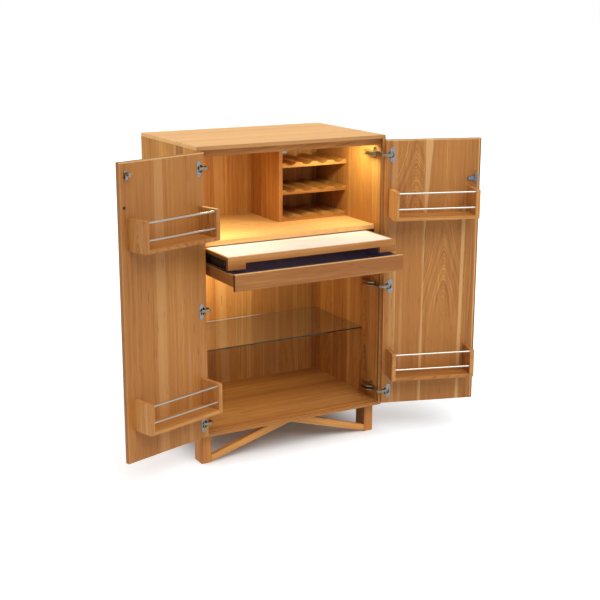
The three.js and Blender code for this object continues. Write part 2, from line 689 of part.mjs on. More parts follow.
// A ribbon of even width along a bent line, with round ends
function ribbon(points, half) {
  const left = [];
  const right = [];
  const unit = (from, to) => new THREE.Vector2().subVectors(to, from).normalize();
  points.forEach((point, index) => {
    const before = index > 0 ? unit(points[index - 1], point) : unit(point, points[1]);
    const after = index < points.length - 1 ? unit(point, points[index + 1]) : before;
    const mitre = new THREE.Vector2().addVectors(before, after).normalize();
    const normal = new THREE.Vector2(-mitre.y, mitre.x).multiplyScalar(half / mitre.dot(before));
    left.push(point.clone().add(normal));
    right.push(point.clone().sub(normal));
  });
  const outline = new THREE.Shape();
  const last = points[points.length - 1];
  const heading = (from, to) => Math.atan2(to.y - from.y, to.x - from.x);
  const endTurn = heading(points[points.length - 2], last);
  const startTurn = heading(points[1], points[0]);
  outline.moveTo(right[0].x, right[0].y);
  right.slice(1).forEach((p) => outline.lineTo(p.x, p.y));
  outline.absarc(last.x, last.y, half, endTurn - Math.PI / 2, endTurn + Math.PI / 2, false);
  left.slice(0, -1).reverse().forEach((p) => outline.lineTo(p.x, p.y));
  outline.absarc(points[0].x, points[0].y, half, startTurn - Math.PI / 2, startTurn + Math.PI / 2, false);
  return outline;
}

// The link: it hangs on the cup's pin, goes round the door's edge and ends in a roller that
// runs in the arm. It is drawn as it lies with the door open, from the cup's pin.
function hingeLink(door, name, height) {
  const { group, sign } = door;
  const pinFromAxis = new THREE.Vector2(PIVOT_OUTWARD + CUP_PIN_ACROSS, PIVOT_FORWARD + CUP_PIN_DEEP);
  const pinOpen = pinFromAxis.clone().rotateAround(new THREE.Vector2(), -openAngle);
  const at = (across, deep) => {
    const [x, y] = [across + PIVOT_OUTWARD - pinOpen.x, deep + PIVOT_FORWARD - pinOpen.y];
    return new THREE.Vector2(-sign * x, y);
  };
  const roller = at(LINK_END_ACROSS, LINK_END_DEEP);
  const line = [
    new THREE.Vector2(),
    at(LINK_ELBOW_ACROSS, -LINK_ELBOW_FORWARD),
    at(LINK_NECK_ACROSS, -LINK_NECK_FORWARD),
    roller,
  ];
  const half = LINK_HEIGHT / 2;
  const body = extrudeUp(ribbon(line, LINK_HALF_WIDTH), [-half, half], 5);
  const hole = rodUp(CUP_PIN_RADIUS + LINK_HOLE_CLEARANCE, 0, 0, [-LINK_HEIGHT, LINK_HEIGHT], 12);
  const rollerHalf = half + LINK_HOLE_CLEARANCE;
  const pin = rodUp(LINK_ROLLER_RADIUS, roller.x, roller.y, [-rollerHalf, rollerHalf], 12);
  const mesh = piece(group, `${name}_hinge_link`, join(cut(body, hole), pin), nickel);
  mesh.position.set(-sign * pinFromAxis.x, pinFromAxis.y, height);
  mesh.rotation.z = -sign * openAngle;
}

// A bottle rack: two end boards with a rounded front corner, a bottom board and two rods
function doorRack(door, name, top) {
  const { group, span, innerFace } = door;
  const near = innerFace + SEAT_GAP;
  const far = near + RACK_DEPTH;
  const [low, high] = [top - RACK_HEIGHT, top];
  const endOutline = new THREE.Shape();
  endOutline.moveTo(near, low);
  endOutline.lineTo(far, low);
  endOutline.lineTo(far, high - RACK_CORNER_RADIUS);
  endOutline.absarc(far - RACK_CORNER_RADIUS, high - RACK_CORNER_RADIUS, RACK_CORNER_RADIUS, 0, Math.PI / 2, false);
  endOutline.lineTo(near, high);
  endOutline.closePath();
  const start = RACK_EDGE_INSET;
  const stop = RACK_EDGE_INSET + RACK_LENGTH;
  const firstEnd = extrudeAcross(endOutline, span(start, start + RACK_END_THICKNESS), 6);
  const secondEnd = extrudeAcross(endOutline, span(stop - RACK_END_THICKNESS, stop), 6);
  const bottom = block(span(start, stop), [near, far], [low, low + RACK_BOTTOM_THICKNESS]);
  const rodY = far - RACK_ROD_SETBACK;
  const seat = RACK_END_THICKNESS - RACK_ROD_SEAT;
  const rodSpan = span(start + seat, stop - seat);
  const rods = { top: high - RACK_TOP_ROD_DROP, low: high - RACK_LOW_ROD_DROP };
  const holeSpan = [rodSpan[0] - SEAT_GAP, rodSpan[1] + SEAT_GAP];
  const holes = Object.values(rods).map((z) => rodAcross(RACK_ROD_RADIUS + SEAT_GAP, holeSpan, rodY, z));
  piece(group, `${name}_rack`, cut(join(firstEnd, secondEnd, bottom), ...holes), cherry);
  for (const [level, z] of Object.entries(rods)) {
    piece(group, `${name}_rack_${level}_rod`, rodAcross(RACK_ROD_RADIUS, rodSpan, rodY, z), satinSteel);
  }
}

// The elbow catch near the left door's top corner
function buildCatch(door) {
  const { group, along, innerFace } = door;
  const centre = along(doorWidth - CATCH_FROM_EDGE);
  const pivotZ = doorHigh - CATCH_DROP;
  const plateY = [innerFace + SEAT_GAP, innerFace + SEAT_GAP + CATCH_PLATE];
  const half = CATCH_WIDTH / 2;
  const plateZ = [pivotZ - CATCH_PLATE_HEIGHT / 2, pivotZ + CATCH_PLATE_HEIGHT / 2];
  const plate = block([centre - half, centre + half], plateY, plateZ);
  const earY = [plateY[0], innerFace + CATCH_EAR_REACH];
  const earZ = [pivotZ - CATCH_EAR_HEIGHT / 2, pivotZ + CATCH_EAR_HEIGHT / 2];
  const ears = [
    block([centre - half, centre - half + CATCH_EAR_THICKNESS], earY, earZ),
    block([centre + half - CATCH_EAR_THICKNESS, centre + half], earY, earZ),
  ];
  const pinY = innerFace + CATCH_PIN_REACH;
  const pin = rodAcross(CATCH_PIN_RADIUS, [centre - half, centre + half], pinY, pivotZ, 12);
  piece(group, 'elbow_catch_base', join(plate, ...ears, pin), nickel);

  const outline = new THREE.Shape();
  outline.moveTo(LEVER_RING, 0);
  outline.lineTo(LEVER_REACH, 0);
  outline.lineTo(LEVER_REACH, LEVER_HOOK_RISE);
  outline.lineTo(LEVER_REACH - LEVER_ARM, LEVER_HOOK_RISE - LEVER_ARM);
  outline.lineTo(LEVER_REACH - LEVER_ARM, LEVER_ARM);
  outline.absarc(0, 0, LEVER_RING, Math.PI / 4, Math.PI, false);
  outline.lineTo(LEVER_TAIL_LEAN - LEVER_ARM / 2, -LEVER_TAIL);
  outline.lineTo(LEVER_TAIL_LEAN + LEVER_ARM / 2, -LEVER_TAIL);
  outline.closePath();
  const leverHalf = half - CATCH_EAR_THICKNESS - CATCH_CLEARANCE;
  const body = extrudeAcross(outline, [-leverHalf, leverHalf], 6);
  const hole = rodAcross(CATCH_PIN_RADIUS + CATCH_CLEARANCE, [-half, half], 0, 0, 12);
  const lever = piece(group, 'elbow_catch_lever', cut(body, hole), nickel);
  lever.position.set(centre, pinY, pivotZ);
  lever.rotation.x = -THREE.MathUtils.degToRad(LEVER_RELEASE_ANGLE);

  const headerLow = ceiling - HEADER_HEIGHT;
  const strikeX = -(DOOR_GAP / 2 + CATCH_FROM_EDGE);
  const strikeBack = DOOR_STOP_SETBACK + HEADER_THICKNESS;
  const spanX = [strikeX - STRIKE_WIDTH / 2, strikeX + STRIKE_WIDTH / 2];
  const spanZ = [headerLow - STRIKE_THICKNESS, headerLow];
  const strikePlate = block(spanX, [strikeBack - STRIKE_DEPTH, strikeBack], spanZ);
  const lip = block(spanX, [strikeBack - STRIKE_THICKNESS, strikeBack], [headerLow - STRIKE_DROP, headerLow]);
  piece(caseFrame, 'catch_strike', join(strikePlate, lip), nickel);
}

// Where the lock's barrel goes through the right door
function lockPlace(door) {
  const { along, outerFace, innerFace } = door;
  return { x: along(doorWidth - LOCK_FROM_EDGE), z: doorHigh - LOCK_DROP, outerFace, innerFace };
}

function lockHole(door) {
  const { x, z, outerFace, innerFace } = lockPlace(door);
  const through = [outerFace - DOOR_THICKNESS, innerFace + DOOR_THICKNESS];
  return rodBack(LOCK_BARREL_RADIUS + LOCK_BARREL_CLEARANCE, x, through, z, 24);
}

function buildLock(door) {
  const { group, sign } = door;
  const { x, z, outerFace, innerFace } = lockPlace(door);
  const roseY = [outerFace - SEAT_GAP - LOCK_ROSE_THICKNESS, outerFace - SEAT_GAP];
  const housingY = [innerFace + SEAT_GAP, innerFace + SEAT_GAP + LOCK_HOUSING_THICKNESS];
  const camY = [housingY[1] + SEAT_GAP, housingY[1] + SEAT_GAP + LOCK_CAM_THICKNESS];
  const far = x + sign * (LOCK_HOUSING_LENGTH - LOCK_HOUSING_HALF_HEIGHT);
  const [low, high] = [Math.min(x, far), Math.max(x, far)];
  const outline = new THREE.Shape();
  outline.moveTo(low, z - LOCK_HOUSING_HALF_HEIGHT);
  outline.lineTo(high, z - LOCK_HOUSING_HALF_HEIGHT);
  outline.absarc(high, z, LOCK_HOUSING_HALF_HEIGHT, -Math.PI / 2, Math.PI / 2, false);
  outline.lineTo(low, z + LOCK_HOUSING_HALF_HEIGHT);
  outline.absarc(low, z, LOCK_HOUSING_HALF_HEIGHT, Math.PI / 2, 1.5 * Math.PI, false);
  const housing = extrudeBack(outline, housingY, 6);
  const barrel = rodBack(LOCK_BARREL_RADIUS, x, [roseY[0], housingY[0] + SEAT_GAP], z, 24);
  const rose = rodBack(LOCK_ROSE_RADIUS, x, roseY, z, 24);
  const spindle = rodBack(LOCK_SPINDLE_RADIUS, x, [housingY[0], camY[1] + LOCK_CAM_THICKNESS / 2], z, 12);
  piece(group, 'lock_body', join(housing, barrel, rose, spindle), nickel);

  const half = LOCK_CAM_WIDTH / 2;
  const camOutline = new THREE.Shape();
  camOutline.moveTo(-half, -LOCK_CAM_TAIL);
  camOutline.lineTo(half, -LOCK_CAM_TAIL);
  camOutline.lineTo(half, LOCK_CAM_REACH - half);
  camOutline.absarc(0, LOCK_CAM_REACH - half, half, 0, Math.PI, false);
  camOutline.closePath();
  const cam = extrudeBack(camOutline, [0, LOCK_CAM_THICKNESS], 6);
  const bore = rodBack(LOCK_SPINDLE_RADIUS + SEAT_GAP, 0, [-LOCK_CAM_THICKNESS, 2 * LOCK_CAM_THICKNESS], 0, 12);
  const mesh = piece(group, 'lock_cam', cut(cam, bore), nickel);
  mesh.position.set(x, camY[0], z);
}

function buildDoors() {
  const rackTops = { upper: doorHigh - UPPER_RACK_DROP, lower: doorLow + LOWER_RACK_TOP };
  for (const [side, sign] of [['left', -1], ['right', 1]]) {
    const door = doorFrame(sign);
    doorLeaf(door, side, side === 'right' ? [lockHole(door)] : []);
    for (const [level, height] of Object.entries(hingeHeights)) {
      hingeArm(`${side}_${level}`, sign, height);
      hingeCup(door, `${side}_${level}`, height);
      hingeLink(door, `${side}_${level}`, height);
    }
    for (const [level, top] of Object.entries(rackTops)) {
      doorRack(door, `${side}_${level}`, top);
    }
    if (side === 'left') {
      buildCatch(door);
    } else {
      buildLock(door);
    }
  }
}

buildCase();
buildLegFrames();
buildUpperBay();
buildGlassShelf();
buildBoard();
buildDrawer();
buildRunners();
buildDoors();

// The origin is on the floor, under the middle of the whole piece with its doors open
armoire.updateMatrixWorld(true);
const bounds = new THREE.Box3().setFromObject(armoire, true);
const centre = bounds.getCenter(new THREE.Vector3());
caseFrame.position.set(-centre.x, -centre.y, -bounds.min.z);

export default armoire;
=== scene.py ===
"""Looks of the bar armoire: timber, metal and glass finishes, small fittings, light and camera.

Lengths are in metres and angles in radians. X runs to the right, Y back into the case and Z up from
the floor.
"""

import json
import logging
import math
from dataclasses import dataclass, field, replace
from enum import Enum

import bmesh
import bpy
from mathutils import Matrix, Vector

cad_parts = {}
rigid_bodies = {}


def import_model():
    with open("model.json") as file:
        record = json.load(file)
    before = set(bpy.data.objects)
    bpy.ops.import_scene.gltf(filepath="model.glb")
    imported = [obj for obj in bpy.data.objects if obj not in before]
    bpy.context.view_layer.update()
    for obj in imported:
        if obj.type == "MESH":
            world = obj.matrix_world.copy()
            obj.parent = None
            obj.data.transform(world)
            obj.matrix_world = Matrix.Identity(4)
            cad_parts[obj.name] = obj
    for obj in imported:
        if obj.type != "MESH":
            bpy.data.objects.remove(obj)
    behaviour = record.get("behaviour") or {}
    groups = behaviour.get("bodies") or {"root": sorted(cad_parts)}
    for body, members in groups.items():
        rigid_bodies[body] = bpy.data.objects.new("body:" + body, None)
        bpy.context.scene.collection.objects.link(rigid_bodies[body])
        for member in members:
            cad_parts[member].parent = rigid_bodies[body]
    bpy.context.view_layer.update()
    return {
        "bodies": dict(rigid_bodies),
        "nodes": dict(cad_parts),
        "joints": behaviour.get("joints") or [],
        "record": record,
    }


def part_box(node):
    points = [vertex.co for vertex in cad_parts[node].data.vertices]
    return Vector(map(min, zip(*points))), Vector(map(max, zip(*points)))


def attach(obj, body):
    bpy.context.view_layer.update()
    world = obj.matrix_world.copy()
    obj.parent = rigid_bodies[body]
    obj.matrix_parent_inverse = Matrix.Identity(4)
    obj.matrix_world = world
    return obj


LOG = logging.getLogger("armoire")
MM = 0.001
SKIN = 0.4 * MM
MERGE_DISTANCE = 1e-6
SHARP_ANGLE = 1.0
Triple = tuple[float, float, float]
Socket = bpy.types.NodeSocket
Node = bpy.types.Node
Material = bpy.types.Material
Values = dict[int | str, object]

X_AXIS = (1.0, 0.0, 0.0)
Y_AXIS = (0.0, 1.0, 0.0)
Z_AXIS = (0.0, 0.0, 1.0)
FLOAT = "NodeSocketFloat"
COLOR = "NodeSocketColor"
VECTOR = "NodeSocketVector"
STAVE_SOCKETS = ("Offset", "Number", "Tone", "Slope", "Crest", "Seam")
LEVELS = ("top", "middle", "bottom")


class Side(Enum):
    """The two doors, by the sign of X on which each one hangs."""

    LEFT = -1
    RIGHT = 1

    @property
    def word(self) -> str:
        """The side's name as it stands in the names of nodes."""
        return self.name.lower()


class Tree:
    """A shader node tree with short ways to add and join nodes."""

    def __init__(self, tree: bpy.types.NodeTree) -> None:
        """Wraps a node tree."""
        self.tree = tree

    def put(self, value: object, socket: Socket) -> None:
        """Joins an output to an input, or sets the input to a plain value.

        Args:
            value: An output socket, a number or a tuple.
            socket: The input that takes it.
        """
        if isinstance(value, Socket):
            self.tree.links.new(value, socket)
        else:
            socket.default_value = value

    def feed(self, node: Node, values: Values) -> None:
        """Joins or sets a node's inputs, by name or number."""
        for key, value in values.items():
            self.put(value, node.inputs[key])

    def add(self, kind: str, values: Values | None = None, **settings: object) -> Node:
        """Adds a node.

        Args:
            kind: The node's type name.
            values: What its inputs take, by name or number.
            **settings: Properties to set on it.

        Returns:
            The new node.
        """
        node = self.tree.nodes.new(kind)
        for name, value in settings.items():
            setattr(node, name, value)
        self.feed(node, values or {})
        return node

    def math(self, operation: str, *values: object, clamp: bool = False) -> Socket:
        """Works on up to three values. Clamp keeps the result from 0 to 1."""
        numbered = dict(enumerate(values))
        return self.add("ShaderNodeMath", numbered, operation=operation, use_clamp=clamp).outputs[0]

    def vector(self, operation: str, first: object, second: object) -> Socket:
        """Works on two vectors. A single value stands for the same value three times."""
        return self.add("ShaderNodeVectorMath", {0: first, 1: second}, operation=operation).outputs[0]

    def times(self, first: object, second: object) -> Socket:
        """Multiplies two values."""
        return self.math("MULTIPLY", first, second)

    def less(self, first: object, second: object) -> Socket:
        """Takes the second value from the first."""
        return self.math("SUBTRACT", first, second)

    def swing(self, value: object) -> Socket:
        """Moves a value that lies around one half to lie around 0."""
        return self.less(value, 0.5)

    def weighed(self, value: object, weight: object, base: object, clamp: bool = False) -> Socket:
        """Adds a value times its weight to a base."""
        return self.math("MULTIPLY_ADD", value, weight, base, clamp=clamp)

    def mix(self, share: object, low: object, high: object) -> Socket:
        """Mixes two colours: the first at share 0, the second at share 1."""
        return self.add("ShaderNodeMix", {0: share, 6: low, 7: high}, data_type="RGBA").outputs[2]

    def smooth(self, value: object, low: float, high: float) -> Socket:
        """Rises smoothly from 0 to 1 while a value goes from low to high."""
        levels = {"Value": value, "From Min": low, "From Max": high}
        return self.add("ShaderNodeMapRange", levels, interpolation_type="SMOOTHSTEP").outputs["Result"]

    def noise(self, vector: object, scale: float = 1.0, detail: float = 2.0) -> Socket:
        """A noise, around one half, with a number of finer layers."""
        values = {"Vector": vector, "Scale": scale, "Detail": detail}
        return self.add("ShaderNodeTexNoise", values).outputs[0]

    def place(self) -> Socket:
        """Object coordinates."""
        return self.add("ShaderNodeTexCoord").outputs["Object"]

    def split(self, vector: object) -> tuple[Socket, ...]:
        """A vector's X, Y and Z."""
        return tuple(self.add("ShaderNodeSeparateXYZ", {0: vector}).outputs)

    def join(self, *parts: object) -> Socket:
        """A vector from its X, Y and Z."""
        return self.add("ShaderNodeCombineXYZ", dict(enumerate(parts))).outputs[0]

    def along(self, axis: Triple) -> Socket:
        """How far a point lies along a direction, in Object coordinates."""
        values = {0: self.place(), 1: axis}
        return self.add("ShaderNodeVectorMath", values, operation="DOT_PRODUCT").outputs["Value"]

    def seen(self) -> tuple[Socket, Socket]:
        """1 for what the camera sees, also through glass, and 1 for what glossy faces mirror."""
        path = self.add("ShaderNodeLightPath").outputs
        return self.math("MAXIMUM", path["Is Camera Ray"], path["Is Transmission Ray"]), path["Is Glossy Ray"]

    def bump(self, height: object, strength: float, distance: float) -> Socket:
        """A normal that follows a height."""
        values = {"Strength": strength, "Distance": distance, "Height": height}
        return self.add("ShaderNodeBump", values).outputs[0]


class GroupTree(Tree):
    """A shader node group with named inputs and outputs."""

    def __init__(self, name: str, inputs: dict[str, str], outputs: dict[str, str]) -> None:
        """Makes an empty group.

        Args:
            name: The group's name.
            inputs: Each input's socket type, by name.
            outputs: Each output's socket type, by name.
        """
        self.group = bpy.data.node_groups.new(name, "ShaderNodeTree")
        super().__init__(self.group)
        for way, sockets in (("INPUT", inputs), ("OUTPUT", outputs)):
            for label, kind in sockets.items():
                self.group.interface.new_socket(name=label, in_out=way, socket_type=kind)
        self.inputs = self.add("NodeGroupInput").outputs
        self.results = self.add("NodeGroupOutput")


@dataclass(frozen=True)
class Pattern:
    """A noise drawn out along the grain, with its scales per metre.

    Its marks are its peaks, which rise from low to high.
    """

    across: float
    along: float
    detail: float = 1.0
    weight: float = 0.5
    low: float = 0.3
    high: float = 0.7

    def value(self, tree: Tree, vector: Socket) -> Socket:
        """Its value on board coordinates, around one half."""
        scales = (self.across, self.across, self.along)
        return tree.noise(tree.vector("MULTIPLY", vector, scales), detail=self.detail)

    def onto(self, tree: Tree, vector: Socket, base: Socket) -> Socket:
        """Adds its swing, times its weight, to a base."""
        return tree.weighed(tree.swing(self.value(tree, vector)), self.weight, base)

    def marks(self, tree: Tree, vector: Socket) -> Socket:
        """0 where it is under low and 1 where it is over high."""
        return tree.smooth(self.value(tree, vector), self.low, self.high)


class StaveGroup(GroupTree):
    """Staves of about one width across a glued-up board, each with its own tone and cut."""

    sway = 0.24
    sway_rate = 1.9
    step = 1.37
    heart_spread = 2.4
    near_heart = 0.3
    far_from_heart = 0.7
    steep = 0.22
    plain = 0.02
    tone_spread = 0.8
    crest_spread = 1.3
    seam_start = 0.492
    seam_full = 0.499

    def __init__(self) -> None:
        """Builds the group."""
        inputs = {"Vector": VECTOR, "Width": FLOAT, "Seed": FLOAT}
        super().__init__("even_staves", inputs, dict.fromkeys(STAVE_SOCKETS, FLOAT))
        width, seed = self.inputs["Width"], self.inputs["Seed"]
        raw = self.math("DIVIDE", self.split(self.inputs["Vector"])[0], width)
        raw = self.math("ADD", raw, seed)
        sine = self.math("SINE", self.times(raw, self.sway_rate))
        place = self.math("ADD", raw, self.times(sine, self.sway))
        share = self.math("FRACT", place)
        number = self.weighed(self.math("FLOOR", place), self.step, seed)
        random = self.add("ShaderNodeTexWhiteNoise", {"W": number}, noise_dimensions="1D")
        tone, heart, crest = self.add("ShaderNodeSeparateColor", {0: random.outputs["Color"]}).outputs
        heart = self.times(self.swing(heart), self.heart_spread)
        offset = self.less(share, self.math("ADD", heart, 0.5))
        outside = self.smooth(self.math("ABSOLUTE", heart), self.near_heart, self.far_from_heart)
        middle = self.math("ABSOLUTE", self.swing(share))
        values = {
            "Offset": self.times(offset, width),
            "Number": number,
            "Tone": self.weighed(self.swing(tone), self.tone_spread, 0.5),
            "Slope": self.weighed(outside, self.plain - self.steep, self.steep),
            "Crest": self.times(crest, self.crest_spread),
            "Seam": self.smooth(middle, self.seam_start, self.seam_full),
        }
        self.feed(self.results, values)


class TimberGroup(GroupTree):
    """Cherry and maple: growth rings, bands, fibres, flecks, gum marks and sapwood.

    A weight says how much a mark counts in the tone, but the bend's and the ripple's weights are how far
    they move the rings. A depth says how much a mark counts in the relief.
    """

    board_step = (3.1, 2.3, 5.7)
    fibre = Pattern(420, 6, 3)
    streak = Pattern(60, 0.8, 3, weight=0.65)
    flake = Pattern(150, 11, 3)
    cloud = Pattern(9, 1.6)
    fleck = Pattern(480, 34, weight=0.22, low=0.66, high=0.74)
    gum = Pattern(120, 9, low=0.715, high=0.76)
    sap = Pattern(17, 0.35, low=0.60, high=0.66)
    bend = Pattern(9, 2.4, 0, weight=30 * MM)
    ripple = Pattern(60, 14, 2, weight=5 * MM)
    fade = Pattern(10, 1.4)
    ring_pitch = 5 * MM
    ring_power = 2.2
    ring_middle = 0.25
    ring_faded = 0.4
    pith = 15 * MM
    crest_reach = 0.16
    clear = 0.10
    faint = 0.34
    faint_share = 0.3
    band_pitch = 11 * MM
    tone_weight = 0.55
    band_weight = 1.7
    ring_weight = -0.8
    seam_weight = -0.2
    sap_color = (0.88, 0.60, 0.30, 1)
    sap_share = 0.45
    sap_fibre = 0.4
    gum_color = (0.16, 0.05, 0.014, 1)
    fibre_rough = 0.2
    ring_rough = 0.08
    fibre_depth = 0.5
    fleck_depth = 0.6
    ring_depth = -0.2
    seam_depth = -0.8

    def __init__(self) -> None:
        """Builds the group. Its vector is X across the staves, Y through them and Z along them."""
        numbers = (*STAVE_SOCKETS, "Pale", "Figure", "Sapwood", "Contrast", "Polish")
        colors = ("Dark", "Middle", "Light")
        inputs = {"Vector": VECTOR, **dict.fromkeys(numbers, FLOAT), **dict.fromkeys(colors, COLOR)}
        super().__init__("timber", inputs, {"Color": COLOR, "Roughness": FLOAT, "Height": FLOAT})
        shift = self.vector("MULTIPLY", self.board_step, self.inputs["Number"])
        own = self.vector("ADD", self.inputs["Vector"], shift)
        ring, band, figure = self.rings(own)
        fibre = self.fibre.value(self, own)
        fleck = self.fleck.marks(self, own)

        value = self.weighed(self.swing(self.inputs["Tone"]), self.tone_weight, 0.5)
        for pattern in (self.streak, self.flake):
            value = pattern.onto(self, own, value)
        value = self.weighed(self.swing(fibre), self.fibre.weight, value)
        value = self.cloud.onto(self, own, value)
        value = self.weighed(self.times(band, figure), self.band_weight, value)
        line = self.times(self.less(ring, self.ring_middle), figure)
        value = self.weighed(line, self.ring_weight, value)
        value = self.weighed(self.inputs["Seam"], self.seam_weight, value)
        value = self.weighed(self.swing(value), self.inputs["Contrast"], 0.5, clamp=True)

        low = self.mix(self.smooth(value, 0.0, 0.5), self.inputs["Dark"], self.inputs["Middle"])
        color = self.mix(self.smooth(value, 0.5, 1.0), low, self.inputs["Light"])
        pale = self.mix(self.sap_share, self.inputs["Light"], self.sap_color)
        pale = self.mix(self.times(fibre, self.sap_fibre), pale, self.inputs["Middle"])
        sap = self.times(self.sap.marks(self, own), self.inputs["Sapwood"])
        color = self.mix(self.math("MAXIMUM", sap, self.inputs["Pale"]), color, pale)
        gum = self.times(self.gum.marks(self, own), self.gum.weight)
        marks = self.math("MAXIMUM", self.times(fleck, self.fleck.weight), gum)
        rough = self.weighed(self.swing(fibre), self.fibre_rough, self.inputs["Polish"])
        height = self.less(self.times(fibre, self.fibre_depth), self.times(fleck, self.fleck_depth))
        height = self.weighed(ring, self.ring_depth, height)
        values = {
            "Color": self.mix(marks, color, self.gum_color),
            "Roughness": self.weighed(ring, self.ring_rough, rough),
            "Height": self.weighed(self.inputs["Seam"], self.seam_depth, height),
        }
        self.feed(self.results, values)

    def rings(self, own: Socket) -> tuple[Socket, Socket, Socket]:
        """Growth rings: long arches where a stave is cut near the heart, and lines elsewhere.

        Args:
            own: Board coordinates, shifted for each stave.

        Returns:
            How dark the latewood line is, from 0 to 1, the broader bands around 0, and how clearly
            both show.
        """
        square = self.weighed(self.inputs["Offset"], self.inputs["Offset"], self.pith**2)
        above = self.less(self.split(self.inputs["Vector"])[2], self.inputs["Crest"])
        away = self.smooth(self.math("ABSOLUTE", above), self.clear, self.faint)
        figure = self.times(self.inputs["Figure"], self.weighed(away, self.faint_share - 1, 1.0))
        rise = self.math("ARCTANGENT", self.math("DIVIDE", above, self.crest_reach))
        rise = self.times(self.times(rise, self.crest_reach), self.inputs["Slope"])
        radius = self.math("ADD", self.math("SQRT", square), rise)
        for pattern in (self.bend, self.ripple):
            radius = pattern.onto(self, own, radius)
        cycle = self.math("FRACT", self.math("DIVIDE", radius, self.ring_pitch))
        clearness = self.weighed(self.fade.marks(self, own), 1 - self.ring_faded, self.ring_faded)
        ring = self.times(self.math("POWER", cycle, self.ring_power), clearness)
        years = {"W": self.math("DIVIDE", radius, self.band_pitch), "Scale": 1.0, "Detail": 2.0}
        band = self.add("ShaderNodeTexNoise", years, noise_dimensions="1D").outputs[0]
        return ring, self.swing(band), figure


class SmudgeGroup(GroupTree):
    """Uneven gloss and darker patches of a handled metal, plastic or felt face. A strong mottle paints
    reflections into a shiny metal's colour: dark patches for what it would mirror.
    """

    fine_scale = 14
    fine_shade = 0.12
    broad_shade = 0.2
    darker = 0.12

    def __init__(self) -> None:
        """Builds the group."""
        numbers = dict.fromkeys(("Scale", "Base", "Spread", "Mottle"), FLOAT)
        outputs = {"Color": COLOR, "Roughness": FLOAT, "Height": FLOAT}
        super().__init__("smudge", {"Vector": VECTOR, **numbers, "Color": COLOR}, outputs)
        vector = self.vector("MULTIPLY", self.inputs["Vector"], self.inputs["Scale"])
        broad = self.swing(self.noise(vector, detail=3))
        fine = self.noise(vector, scale=self.fine_scale, detail=2)
        shade = self.weighed(self.swing(fine), self.fine_shade, self.times(broad, self.broad_shade))
        # A strong mottle deepens these patches: on the shiny metals they are painted reflections.
        shade = self.weighed(shade, self.inputs["Mottle"], self.darker, clamp=True)
        values = {
            "Color": self.mix(shade, self.inputs["Color"], (0, 0, 0, 1)),
            "Roughness": self.weighed(broad, self.inputs["Spread"], self.inputs["Base"]),
            "Height": fine,
        }
        self.feed(self.results, values)


class Groups:
    """The shader groups that more than one finish uses, each built once."""

    staves: StaveGroup
    timber: TimberGroup
    smudge: SmudgeGroup

    @classmethod
    def build(cls) -> None:
        """Builds every group."""
        cls.staves = StaveGroup()
        cls.timber = TimberGroup()
        cls.smudge = SmudgeGroup()


@dataclass(frozen=True)
class Grain:
    """How a board lies: the way its fibres run, the way its staves are set out, and from where."""

    along: Triple
    across: Triple
    origin: Triple = (0.0, 0.0, 0.0)
    mirrored: bool = False

    def coordinates(self, tree: Tree) -> Socket:
        """Turns Object coordinates into board coordinates.

        Args:
            tree: The material's tree.

        Returns:
            The vector's socket: X across, Y through and Z along the board.
        """
        vector = tree.place()
        if self.mirrored:
            x, y, z = tree.split(vector)
            vector = tree.join(tree.math("ABSOLUTE", x), y, z)
        across = Vector(self.across).normalized()
        along = Vector(self.along).normalized()
        turn = Matrix((across, along.cross(across), along)).transposed().to_euler("XYZ")
        values = {"Vector": vector, "Location": self.origin, "Rotation": turn}
        return tree.add("ShaderNodeMapping", values, vector_type="TEXTURE").outputs[0]


@dataclass(frozen=True)
class Bounds:
    """A test on one direction in Object coordinates: true outside a distance from a centre."""

    axis: Triple
    centre: float
    half: float

    def mask(self, tree: Tree) -> Socket:
        """1 outside the distance and 0 inside it."""
        away = tree.math("ABSOLUTE", tree.less(tree.along(self.axis), self.centre))
        return tree.math("GREATER_THAN", away, self.half)


@dataclass(frozen=True)
class Span:
    """A stretch along one direction in Object coordinates."""

    axis: Triple
    low: float
    high: float

    def mask(self, tree: Tree) -> Socket:
        """1 on the stretch and 0 off it."""
        middle, half = (self.low + self.high) / 2, (self.high - self.low) / 2
        return tree.math("COMPARE", tree.along(self.axis), middle, half)


def around(axis: Triple, place: float, half: float = SKIN) -> Span:
    """A thin stretch around a face, which takes in that face alone."""
    return Span(axis, place - half, place + half)


@dataclass(frozen=True)
class Band:
    """A strip of a board that shows darker or paler, such as end grain, a glue line, painted shade or a
    painted highlight.
    """

    spans: tuple[Span, ...]
    color: Triple
    share: float

    def over(self, tree: Tree, color: Socket) -> Socket:
        """Lays the strip over the timber's colour.

        Args:
            tree: The material's tree.
            color: The timber's colour.

        Returns:
            The colour with the strip.
        """
        mask: object = self.share
        for span in self.spans:
            mask = tree.times(span.mask(tree), mask)
        return tree.mix(mask, color, (*self.color, 1))


